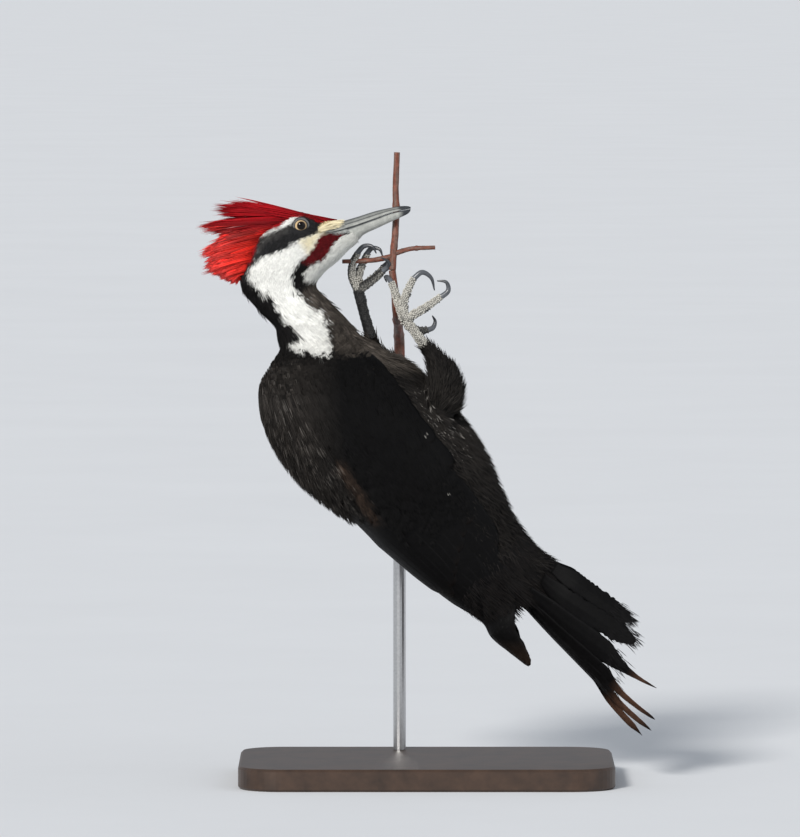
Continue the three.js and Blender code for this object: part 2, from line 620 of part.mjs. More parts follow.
// ---- Legs ----
// Centre [x, y, z] and radius of the feathered thigh, from inside the belly to the heel, and of the bare
// shank. Each toe goes on from the shank's end by its path, and its claw from there to the tip.
const LEGS = {
  right: {
    thigh: [[4, -22, 229, 10], [9.5, -22, 242, 13], [10.5, -20.5, 254, 12.4], [7, -18, 264, 9.5],
      [2.8, -15, 270.5, 6], [-0.6, -13.5, 274.6, 3.6]],
    shank: [[-0.8, -13.4, 274.9, 3], [-6.5, -12.4, 282.6, 2.7], [-13.3, -11.4, 291.2, 3.1]],
    toes: [
      { path: [[-16.9, -8.6, 299.5], [-19.4, -6.2, 307.7], [-21.9, -3.6, 314]],
        claw: [[-24.4, -0.6, 317.6], [-26, 3.4, 317.4], [-25.2, 6.4, 314.4]] },
      { path: [[-14.2, -12.6, 301.4], [-11.7, -13.4, 309.6], [-7.9, -12.8, 317.4]],
        claw: [[-2.8, -12.4, 321.2], [2.8, -12, 317.8], [5, -11.6, 309.8]] },
      { path: [[-5.4, -13.6, 295.9], [2.2, -14.8, 300.8], [9.1, -14.4, 305.8]],
        claw: [[13.6, -14, 309.8], [12.4, -13.6, 315], [6.6, -13.2, 315.9]] },
      { path: [[-9.6, -9, 286.2], [-4.1, -6.2, 283.9], [0.3, -4.4, 284.6]],
        claw: [[4, -3.2, 286], [5.4, -2.6, 290], [3.6, -2.2, 293.6]] },
    ],
  },
  left: {
    thigh: [[-10, 25, 234, 10], [-15, 25.5, 247, 12], [-22, 23, 258, 11], [-29, 18.5, 268.5, 8],
      [-33.4, 15.5, 275.6, 5], [-35, 14.4, 278.6, 3.8]],
    shank: [[-35.2, 14.2, 278.9, 3.4], [-39.4, 13.2, 293.4, 3], [-43.2, 12.4, 309, 3.3]],
    toes: [
      { path: [[-47.2, 12, 317.8], [-46.8, 9.8, 326], [-43.6, 7.4, 332.6]],
        claw: [[-39.4, 4.6, 337], [-34.2, 2.4, 337], [-31.6, 1, 332.6]] },
      { path: [[-43.2, 14.4, 318.4], [-40.4, 13.4, 326], [-37.6, 11, 332]],
        claw: [[-34.4, 8.2, 335.6], [-29.6, 5.8, 335], [-27.6, 4.4, 330.6]] },
      { path: [[-38, 9.6, 313], [-32.2, 5.8, 317.4], [-27.4, 3, 321.6]],
        claw: [[-23.8, 0.6, 324.6], [-24.6, -3, 328], [-28.4, -4, 330]] },
      { path: [[-37.4, 14.4, 313.6], [-31, 14, 318.6], [-26.8, 12, 324]],
        claw: [[-23.4, 10.6, 327.4], [-21.4, 9.4, 330.2], [-22.4, 8.4, 332.8]] },
    ],
  },
};
const TOE = { root: 2.7, end: 1.7 };
const CLAW = { root: 1.75, tip: 0.35 };
const PAD_RADIUS = 3.9;

const pathOf = (points) => curveOf(points.map(([x, y, z]) => v3(x, y, z)));
const radiusOf = (points) => (t) =>
  reading(points.map((p, i) => [i / (points.length - 1), p[3]]), t);
const shankEnd = (leg) => leg.shank[leg.shank.length - 1].slice(0, 3);
const toeCurve = (leg, toe) => pathOf([shankEnd(leg), ...toe.path]);

function thighSolid(leg, clearances) {
  const thigh = solidOf(tube(pathOf(leg.thigh), radiusOf(leg.thigh), 8, 14));
  return largest(clearances.reduce((solid, cut) => solid.subtract(cut), thigh));
}

function toeTube(leg, toe, grow = 0) {
  const radius = (t) => THREE.MathUtils.lerp(TOE.root, TOE.end, t);
  return solidOf(tube(toeCurve(leg, toe), radius, 5, 6, grow));
}

// The bare shank and the four toes, in one piece.
function footSolid(leg, clearances) {
  const shank = solidOf(tube(pathOf(leg.shank), radiusOf(leg.shank), 5, 10));
  const pad = solidOf(new THREE.SphereGeometry(PAD_RADIUS, 8, 6).translate(...shankEnd(leg)));
  const foot = fused([shank, pad, ...leg.toes.map((toe) => toeTube(leg, toe))]);
  return largest(clearances.reduce((solid, cut) => solid.subtract(cut), foot));
}

// A claw starts a gap past the toe's flat end and hooks down to its tip.
function clawSolid(leg, toe, clearances) {
  const start = v3(...toe.path[toe.path.length - 1]);
  start.addScaledVector(toeCurve(leg, toe).getTangentAt(1), GAP);
  const curve = curveOf([start, ...toe.claw.map((p) => v3(...p))]);
  const radius = (t) => THREE.MathUtils.lerp(CLAW.root, CLAW.tip, t ** 1.2);
  const claw = solidOf(tube(curve, radius, 7, 7));
  return largest(clearances.reduce((solid, cut) => solid.subtract(cut), claw));
}

// ---- Perch ----
const PERCH = {
  stem: {
    points: [[-17, 60, 262.3], [-17, 59, 272], [-17.5, 50, 280], [-18, 30, 287], [-19, 8, 296],
      [-20, 1.5, 309],
      [-21.5, 0.5, 322]],
    radius: [3.4, 2.1],
    rings: 12,
  },
  upper: {
    points: [[-21.5, 0.5, 322.2], [-20.8, 1.8, 334], [-19.6, 6, 346], [-19.2, 9.5, 358], [-19.4, 10.5, 374],
      [-18.6, 9.5, 396]],
    radius: [2.2, 1.8],
    rings: 9,
  },
  twigLeft: {
    points: [[-22, 1.2, 330.6], [-31, 5, 328.6], [-41, 8, 327.6], [-53, 9.6, 327.2]],
    radius: [1.7, 1.3],
    rings: 5,
  },
  twigRight: {
    points: [[-20, 2, 332.6], [-10.4, 1.5, 335.4], [5.4, 0.5, 336.4]],
    radius: [1.6, 1.2],
    rings: 5,
  },
};

function perchTube(limb, grow = 0) {
  const radius = (t) => THREE.MathUtils.lerp(...limb.radius, t);
  return solidOf(tube(pathOf(limb.points), radius, limb.rings, 8, grow));
}

// ---- Stand ----
function baseSolid() {
  const { length, width, height, corner, bevel } = BASE;
  const [x, y] = [length / 2 - bevel, width / 2 - bevel];
  const outline = new THREE.Shape();
  outline.moveTo(-x + corner, -y);
  outline.lineTo(x - corner, -y);
  outline.absarc(x - corner, -y + corner, corner, -Math.PI / 2, 0);
  outline.absarc(x - corner, y - corner, corner, 0, Math.PI / 2);
  outline.absarc(-x + corner, y - corner, corner, Math.PI / 2, Math.PI);
  outline.absarc(-x + corner, -y + corner, corner, Math.PI, 1.5 * Math.PI);
  const plate = new THREE.ExtrudeGeometry(outline, {
    depth: height - 2 * bevel, bevelThickness: bevel, bevelSize: bevel, bevelSegments: 1, curveSegments: 6,
  });
  plate.translate(0, 0, bevel);
  return solidOf(plate);
}

function rodSolid() {
  const height = ROD.top - BASE.height - GAP;
  const rod = new THREE.CylinderGeometry(ROD.radius, ROD.radius, height, 16);
  rod.rotateX(Math.PI / 2);
  rod.translate(ROD.x, ROD.y, BASE.height + GAP + height / 2);
  return solidOf(rod);
}

// ---- The whole ----
const finish = (color, roughness, metalness = 0) =>
  new THREE.MeshStandardMaterial({ color, roughness, metalness });
const MATERIALS = {
  plumage: finish(0x1b1a1a, 0.7),
  head: finish(0xd8d6cc, 0.8),
  crest: finish(0xc4111b, 0.65),
  flight: finish(0x121214, 0.5),
  bill: finish(0x7f878c, 0.4),
  eye: finish(0xd9c88f, 0.15),
  foot: finish(0xa7a69c, 0.7),
  claw: finish(0x4b4f57, 0.35),
  bark: finish(0x8a4a35, 0.75),
  base: finish(0x2a211c, 0.5),
  rod: finish(0x9a9c9e, 0.3, 0.9),
};

const woodpecker = new THREE.Group();
function place(name, solid, material) {
  const mesh = new THREE.Mesh(geometryOf(solid), MATERIALS[material]);
  mesh.name = name;
  woodpecker.add(mesh);
}

const clearance = bodyClearance();
const bill = { upper: upperMandible(), lower: lowerMandible() };
place("torso", torsoSolid(), "plumage");
place("neck", neckSolid(), "plumage");
place("head", headSolid(bill.upper.add(bill.lower)), "head");
place("bill_upper", bill.upper, "bill");
place("bill_lower", bill.lower, "bill");
place("crest", crestSolid(clearance.add(eyeSolid(-1, GAP)).add(eyeSolid(1, GAP))), "crest");
place("eye_right", eyeSolid(-1), "eye");
place("eye_left", eyeSolid(1), "eye");

const rightWing = wingSolid(clearance.add(tailStub(GAP)).add(tailSpace()));
const wingCut = wingSheet(WING.length, WING.thickness, 14, GAP);
place("wing_right", rightWing, "flight");
place("wing_left", rightWing.mirror([0, 1, 0]), "flight");
place("tail", tailSolid(clearance), "flight");

const perchCuts = [];
for (const [name, limb] of Object.entries(PERCH)) {
  let solid = perchTube(limb);
  for (const cut of perchCuts) solid = solid.subtract(cut);
  place("perch_" + name.replace(/[A-Z]/g, (c) => "_" + c.toLowerCase()), largest(solid), "bark");
  perchCuts.push(perchTube(limb, GAP));
}
for (const [side, leg] of Object.entries(LEGS)) {
  const thigh = thighSolid(leg, [clearance, wingCut, wingCut.mirror([0, 1, 0])]);
  const thighCut = solidOf(tube(pathOf(leg.thigh), radiusOf(leg.thigh), 8, 14, GAP));
  place("thigh_" + side, thigh, "plumage");
  place("foot_" + side, footSolid(leg, [thighCut, ...perchCuts]), "foot");
  const clawCuts = [...perchCuts, ...leg.toes.map((toe) => toeTube(leg, toe, GAP))];
  leg.toes.forEach((toe, i) => place(`claw_${side}_${i + 1}`, clawSolid(leg, toe, clawCuts), "claw"));
}
place("stand_base", baseSolid(), "base");
place("stand_rod", rodSolid(), "rod");

export default woodpecker;
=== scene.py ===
# %% [markdown]
# # A pileated woodpecker on a cut vine stem
# The real thing is a crow-sized bird that clings to thin stems. Its middle plane is Y = 0, its bill points to +X
# and up, and its back to -X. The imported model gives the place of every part. This lesson dresses it: one skin
# carries short tufts, and the wings, tail and crest are built again feather by feather.

import math

import bmesh
import bpy
import numpy as np
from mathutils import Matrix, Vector
from mathutils.kdtree import KDTree


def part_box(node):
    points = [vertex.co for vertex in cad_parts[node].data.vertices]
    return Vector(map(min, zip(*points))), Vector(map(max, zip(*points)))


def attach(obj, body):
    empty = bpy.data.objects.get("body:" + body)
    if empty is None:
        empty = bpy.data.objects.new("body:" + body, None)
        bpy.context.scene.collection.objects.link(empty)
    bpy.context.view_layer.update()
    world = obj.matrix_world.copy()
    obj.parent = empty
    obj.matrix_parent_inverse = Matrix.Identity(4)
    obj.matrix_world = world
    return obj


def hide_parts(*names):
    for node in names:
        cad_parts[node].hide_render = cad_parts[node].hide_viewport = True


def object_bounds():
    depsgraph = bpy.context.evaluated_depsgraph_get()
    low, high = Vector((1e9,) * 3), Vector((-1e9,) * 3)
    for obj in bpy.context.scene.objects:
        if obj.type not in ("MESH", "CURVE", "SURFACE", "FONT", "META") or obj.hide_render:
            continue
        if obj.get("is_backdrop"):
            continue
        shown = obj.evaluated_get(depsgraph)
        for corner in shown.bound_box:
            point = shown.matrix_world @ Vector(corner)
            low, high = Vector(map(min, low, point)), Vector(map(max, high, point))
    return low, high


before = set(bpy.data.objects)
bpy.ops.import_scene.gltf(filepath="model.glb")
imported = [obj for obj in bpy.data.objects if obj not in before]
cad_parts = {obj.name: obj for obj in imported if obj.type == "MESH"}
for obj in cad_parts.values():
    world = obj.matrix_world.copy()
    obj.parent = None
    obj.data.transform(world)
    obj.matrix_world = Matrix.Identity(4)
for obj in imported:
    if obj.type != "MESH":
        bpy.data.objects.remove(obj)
cad_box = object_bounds()
MM = 0.001
rng = np.random.default_rng(11)


def placed(name, data):
    """A new object in the scene."""
    obj = bpy.data.objects.new(name, data)
    bpy.context.collection.objects.link(obj)
    return obj


print("packed nodes:", len(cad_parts))

# %% [markdown]
# The camera looks straight at the bird's right side from a little above, as far away as a long lens would be, so
# that the lines hardly converge. The picture is taller than wide, so the sensor's size is read on its height.

# %% Camera
VIEW = {"centre": (-0.0167, 0.0, 0.2286), "height": 0.5273, "distance": 6.0, "rise": math.radians(3)}


def make_camera():
    data = bpy.data.cameras.new("camera")
    data.sensor_width = 36
    data.lens = 36 * VIEW["distance"] / VIEW["height"]
    data.clip_end = 200
    camera = placed("camera", data)
    away = Vector((0, -math.cos(VIEW["rise"]), math.sin(VIEW["rise"])))
    camera.location = Vector(VIEW["centre"]) + away * VIEW["distance"]
    camera.rotation_euler = (-away).to_track_quat("-Z", "Y").to_euler()
    bpy.context.scene.camera = camera


make_camera()

# %% [markdown]
# All forms of the bird start from a few tables in millimetres. A smooth curve through a table's points gives the
# outline, and a second smooth reading gives the width between them.


# %% Curves through points
def curve_through(points):
    """Position on a smooth curve at t = 0 ... count - 1, for arrays of t."""
    points = np.asarray(points, float)
    padded = np.vstack([2 * points[0] - points[1], points, 2 * points[-1] - points[-2]])

    def at(t):
        t = np.clip(np.asarray(t, float), 0, len(points) - 1)
        i = np.minimum(t.astype(int), len(points) - 2)
        w = (t - i)[..., None]
        p0, p1, p2, p3 = (padded[i + k] for k in range(4))
        d0, d1, d2 = (
            np.sqrt(np.maximum(np.linalg.norm(b - a, axis=-1), 1e-9))[..., None]
            for a, b in ((p0, p1), (p1, p2), (p2, p3))
        )
        m1 = d1 * ((p1 - p0) / d0 - (p2 - p0) / (d0 + d1) + (p2 - p1) / d1)
        m2 = d1 * ((p2 - p1) / d1 - (p3 - p1) / (d1 + d2) + (p3 - p2) / d2)
        return p1 + w * (m1 + w * (-3 * p1 + 3 * p2 - 2 * m1 - m2 + w * (2 * p1 - 2 * p2 + m1 + m2)))

    return at


def reading(pairs, x):
    """Smooth value through (x, value) pairs in rising x."""
    xs, ys = np.array(pairs, float).T
    slopes = np.gradient(ys) / np.gradient(xs)
    x = np.clip(x, xs[0], xs[-1])
    i = np.clip(np.searchsorted(xs, x, side="right") - 1, 0, len(xs) - 2)
    w = xs[i + 1] - xs[i]
    s = (x - xs[i]) / w
    rise = slopes[i] * w * s * (1 - s) ** 2 - slopes[i + 1] * w * s * s * (1 - s)
    return ys[i] + (ys[i + 1] - ys[i]) * s * s * (3 - 2 * s) + rise


def even_curve(points, count):
    """Points at equal distances along the smooth curve, and its directions there."""
    at = curve_through(points)
    fine = at(np.linspace(0, len(points) - 1, 400))
    run = np.concatenate([[0], np.cumsum(np.linalg.norm(np.diff(fine, axis=0), axis=1))])
    even = np.linspace(0, run[-1], count)
    spots = np.stack([np.interp(even, run, fine[:, k]) for k in range(3)], axis=1)
    return spots, unit(np.gradient(spots, axis=0))


def unit(v):
    return v / np.maximum(np.linalg.norm(v, axis=-1, keepdims=True), 1e-12)


# %% [markdown]
# The body is a stack of oval sections from the rump to the base of the bill. Each has a point on the back, a point
# on the front and half its width.

# %% Body form
BODY = [
    ((37.7, 101), (84.7, 136.3), 18), ((17.9, 115.6), (67.1, 150.2), 25), ((-3.1, 131.6), (53.9, 169.7), 32),
    ((-29.5, 153.5), (44.4, 191.1), 38.5), ((-54.3, 171.1), (36.2, 210.7), 43), ((-80.9, 197.3), (24.9, 227.7), 45),
    ((-97.2, 225.2), (9.5, 245), 44), ((-101.5, 250.1), (-9.4, 263), 38),
    ((-89.3, 275.5), (-39, 280), 22.5), ((-96, 286), (-53.3, 295.4), 19.5),
    ((-109.3, 300.1), (-63, 305.4), 18.5), ((-117.5, 313.4), (-68.4, 312.7), 18.5),
    ((-115.6, 331.6), (-63.3, 320.9), 19.5), ((-99.9, 352.4), (-55.8, 327.2), 18.5),
    ((-81.6, 358), (-48.2, 334.8), 15.5), ((-65.8, 354.4), (-45, 337.9), 11), ((-52.6, 353.5), (-43.8, 340.5), 6.8),
]
BILL_BASE = len(BODY) - 1  # the station where the bill begins
FULLNESS = 0.88


def form_of(stations):
    """A form from ((back x, z), (front x, z), half width) sections."""
    backs = curve_through([(s[0][0], 0, s[0][1]) for s in stations])
    fronts = curve_through([(s[1][0], 0, s[1][1]) for s in stations])
    widths = [(i, s[2]) for i, s in enumerate(stations)]

    def point(t, phi, grow=0.0):
        """At station t and angle phi from the back (0) round the left side to the front (pi)."""
        back, front = backs(t), fronts(t)
        reach = (back - front) / 2
        depth = np.linalg.norm(reach, axis=-1, keepdims=True)
        swell = lambda v: np.sign(v) * np.abs(v) ** FULLNESS
        grow = np.asarray(grow, float)[..., None] if np.ndim(grow) else grow
        out = (back + front) / 2 + reach / depth * (depth + grow) * swell(np.cos(phi))[..., None]
        side = (np.asarray(reading(widths, t))[..., None] + grow) * swell(np.sin(phi))[..., None]
        return out + side * np.array([0, 1, 0])

    return point


body_point = form_of(BODY)
print("body form reaches", body_point(np.array([0.0]), np.array([0.0]))[0], "to the bill")

# %% [markdown]
# Meshes with many thousand small parts are filled from whole arrays at once, which is far quicker than adding
# faces one by one. Every point carries its own colour, and every tuft a small patch of the skin's unwrap.


# %% Meshes from arrays
def paint(mesh, colour):
    """Gives each point of a mesh its own colour."""
    colour = np.asarray(colour, float).reshape(-1, 3)
    shade = mesh.color_attributes.new("tint", "FLOAT_COLOR", "POINT")
    shade.data.foreach_set("color", np.hstack([colour, np.ones((len(colour), 1))]).astype(np.float32).ravel())


def lay_out(mesh, name, places):
    """Gives each corner of a mesh its place on an unwrap."""
    mesh.uv_layers.new(name=name).data.foreach_set("uv", np.asarray(places, np.float32).ravel())


def skin_place(turn, station):
    """Place on the skin's unwrap: round the body by along it."""
    return np.stack([turn / (2 * np.pi) % 1, station / BILL_BASE * 0.8], -1)


def mesh_from(name, points, face_sets, tint=None, patch=None, smooth=True):
    """An object in metres from points in millimetres and arrays of faces with equal corners."""
    mesh = bpy.data.meshes.new(name)
    points = np.asarray(points, float).reshape(-1, 3) * MM
    corners = [np.asarray(f, np.int32) for f in face_sets if len(f)]
    sizes = np.concatenate([np.full(len(f), f.shape[1], np.int32) for f in corners])
    loops = np.concatenate([f.ravel() for f in corners])
    mesh.vertices.add(len(points))
    mesh.vertices.foreach_set("co", points.astype(np.float32).ravel())
    mesh.loops.add(len(loops))
    mesh.loops.foreach_set("vertex_index", loops)
    mesh.polygons.add(len(sizes))
    mesh.polygons.foreach_set("loop_start", np.concatenate([[0], np.cumsum(sizes)[:-1]]).astype(np.int32))
    mesh.polygons.foreach_set("use_smooth", np.full(len(sizes), smooth))
    mesh.update(calc_edges=True)
    if patch is not None:
        lay_out(mesh, "OFBake", np.reshape(patch, (-1, 2))[loops])
    if tint is not None:
        paint(mesh, tint)
    return placed(name, mesh)


def grid_faces(rings, around):
    """Faces between closed rings of equal count."""
    k, j = np.meshgrid(np.arange(rings - 1) * around, np.arange(around), indexing="ij")
    beside = k + (j + 1) % around
    return np.stack([k + j, beside, beside + around, k + j + around], -1).reshape(-1, 4)


def triangles_in(obj):
    obj.data.calc_loop_triangles()
    return len(obj.data.loop_triangles)


# %% [markdown]
# The skin under the plumage is one closed surface, so no seam shows where the neck meets the trunk or the thigh
# the belly. The forms are lofted a coat's depth inside the finished outline, joined, and remeshed into one.

# %% Skin
THIGHS = {
    "right": [(4, -22, 229, 10), (9.5, -22, 242, 13), (10.5, -20.5, 254, 12.4), (7, -18, 264, 9.5),
              (2.8, -15, 270.5, 6), (-0.6, -13.5, 274.6, 3.6)],
    "left": [(-10, 25, 234, 10), (-15, 25.5, 247, 12), (-22, 23, 258, 11), (-29, 18.5, 268.5, 8),
             (-33.4, 15.5, 275.6, 5), (-35, 14.4, 278.6, 3.8)],
}
COAT_DEPTH = [(0, 2.2), (4, 2.6), (7, 2.4), (8, 1.8), (11, 1.3), (13, 0.9), (15, 0.7), (16, 0.5)]
SKIN_CELL = 1.3


def swept(points, radii, rings, sides, grow=0.0):
    """Rings of a round tube along a path, turning as little as they can."""
    spots, ahead = even_curve(points, rings)
    widths = reading([(i / (len(radii) - 1), r) for i, r in enumerate(radii)], np.linspace(0, 1, rings)) + grow
    normal = np.cross(ahead[0], [0.3, 0.2, 0.9])
    turns = np.linspace(0, 2 * np.pi, sides, endpoint=False)
    made = []
    for spot, way, width in zip(spots, ahead, widths):
        normal = unit(normal - way * np.dot(normal, way))
        other = np.cross(way, normal)
        made.append(spot + width * (np.cos(turns)[:, None] * normal + np.sin(turns)[:, None] * other))
    return np.array(made)


def capped(rings):
    """Points and faces of a tube closed at both ends with a fan."""
    count, sides = rings.shape[:2]
    points = np.vstack([rings.reshape(-1, 3), rings[0].mean(0), rings[-1].mean(0)])
    j = np.arange(sides)
    nxt = (j + 1) % sides
    last = (count - 1) * sides
    hub = count * sides
    ends = np.vstack([
        np.stack([nxt, j, np.full(sides, hub)], 1),
        np.stack([last + j, last + nxt, np.full(sides, hub + 1)], 1),
    ])
    return points, grid_faces(count, sides), ends


def outward(obj):
    """Turns every face of a closed mesh outwards."""
    cage = bmesh.new()
    cage.from_mesh(obj.data)
    bmesh.ops.remove_doubles(cage, verts=cage.verts, dist=1e-7)
    bmesh.ops.recalc_face_normals(cage, faces=cage.faces)
    cage.to_mesh(obj.data)
    cage.free()
    return obj


def closed_tube(name, rings, tint=None, ends=None):
    """A tube with closed ends, whose tint is that of the rings' points, with the ends' own or their mean."""
    points, *faces = capped(rings)
    if tint is not None:
        tint = np.vstack([tint.reshape(-1, 3), *(ends or (tint[0].mean(0), tint[-1].mean(0)))])
    return outward(mesh_from(name, points, faces, tint))


def settled(obj):
    """Applies the object's modifiers to its mesh."""
    seen = obj.evaluated_get(bpy.context.evaluated_depsgraph_get())
    mesh = bpy.data.meshes.new_from_object(seen)
    mesh.name = obj.name
    obj.modifiers.clear()
    obj.data = mesh
    return obj


def joined(name, parts):
    """One object from several, with the first one's name changed."""
    with bpy.context.temp_override(active_object=parts[0], selected_editable_objects=parts):
        bpy.ops.object.join()
    parts[0].name = name
    parts[0].data.name = name
    return parts[0]


def make_skin():
    phi = np.linspace(0, 2 * np.pi, 96, endpoint=False)
    tt, pp = np.meshgrid(np.linspace(0, BILL_BASE, 150), phi, indexing="ij")
    parts = [closed_tube("skin", body_point(tt, pp, -reading(COAT_DEPTH, tt)))]
    for side, rows in THIGHS.items():
        tube = swept([row[:3] for row in rows], [row[3] for row in rows], 24, 32, -1.6)
        parts.append(closed_tube("thigh_core_" + side, tube))
    skin = joined("skin", parts)
    remesh = skin.modifiers.new("one surface", "REMESH")
    remesh.mode = "VOXEL"
    remesh.voxel_size = SKIN_CELL * MM
    even = skin.modifiers.new("even out", "SMOOTH")
    even.factor = 0.5
    even.iterations = 4
    settled(skin)
    skin.data.polygons.foreach_set("use_smooth", np.ones(len(skin.data.polygons), bool))
    return skin


skin = make_skin()
print("skin:", triangles_in(skin), "triangles")

# %% [markdown]
# Feathers lie from the bill towards the tail, and on a thigh down to the heel. A fine net of points on the forms
# knows this direction and its place on an unwrap: along the body by round it, with a strip for each thigh. Each
# corner of the skin takes both from the nearest point of the net.


# %% Lie of the plumage
def lie_net():
    """Places, lie directions, unwrap and part of the body (station, or 20 for a thigh) of the net's points."""
    phi = np.linspace(0, 2 * np.pi, 120, endpoint=False)
    tt, pp = np.meshgrid(np.linspace(0.02, BILL_BASE - 0.02, 180), phi, indexing="ij")
    lie = unit(body_point(tt - 0.05, pp) - body_point(tt + 0.05, pp))
    nets = [(body_point(tt, pp), lie, skin_place(pp, tt), tt, pp)]
    for k, rows in enumerate(THIGHS.values()):
        tube = swept([r[:3] for r in rows], [r[3] for r in rows], 40, 40)[6:]
        s, turn = np.meshgrid(np.linspace(0, 1, len(tube)), np.linspace(0, 1, 40, endpoint=False), indexing="ij")
        unwrap = np.stack([turn * 0.45 + 0.5 * k, 0.83 + 0.16 * s], -1)
        nets.append((tube, unit(np.gradient(tube, axis=0)), unwrap, np.full(s.shape, 20.0 + k), s))
    shapes = ((-1, 3), (-1, 3), (-1, 2), -1, -1)
    return [np.concatenate([part.reshape(shape) for part in column]) for column, shape in zip(zip(*nets), shapes)]


def read_skin(skin):
    """The skin's points, normals, lie, station and angle, and its triangles with their unwrap."""
    mesh = skin.data
    mesh.calc_loop_triangles()

    def read(rows, name, kind):
        values = np.empty(len(rows) * 3, kind)
        rows.foreach_get(name, values)
        return values.reshape(-1, 3)

    points = read(mesh.vertices, "co", np.float32) / MM
    spots, lie, unwrap, station, turn = lie_net()
    tree = KDTree(len(spots))
    for i, spot in enumerate(spots):
        tree.insert(spot, i)
    tree.balance()
    near = np.array([tree.find(p)[1] for p in points])
    return {
        "points": points, "normals": read(mesh.vertex_normals, "vector", np.float32),
        "corners": read(mesh.loop_triangles, "vertices", np.int32),
        "lie": lie[near], "unwrap": unwrap[near], "station": station[near], "turn": turn[near],
    }


def unwrapped(unwrap, corners):
    """Unwrap places of each triangle's corners, without a jump across the seam of the back's middle line."""
    places = unwrap[corners].copy()
    jump = (places[..., 0].max(1) - places[..., 0].min(1)) > 0.4
    low = places[..., 0] < 0.4
    places[..., 0] += (jump[:, None] & low) * 1.0
    return places


hide = read_skin(skin)
hide["places"] = unwrapped(hide["unwrap"], hide["corners"])
print("skin points:", len(hide["points"]))

# %% [markdown]
# The markings are a male's: red forehead, crown and crest, a thin white line over the eye, a dark stripe through
# it, a broad white band from the bill down the neck, a dark red moustache that runs into black, and a white chin.
# Each is an outline in millimetres on the side of the head, the same for left and right, with a soft edge.

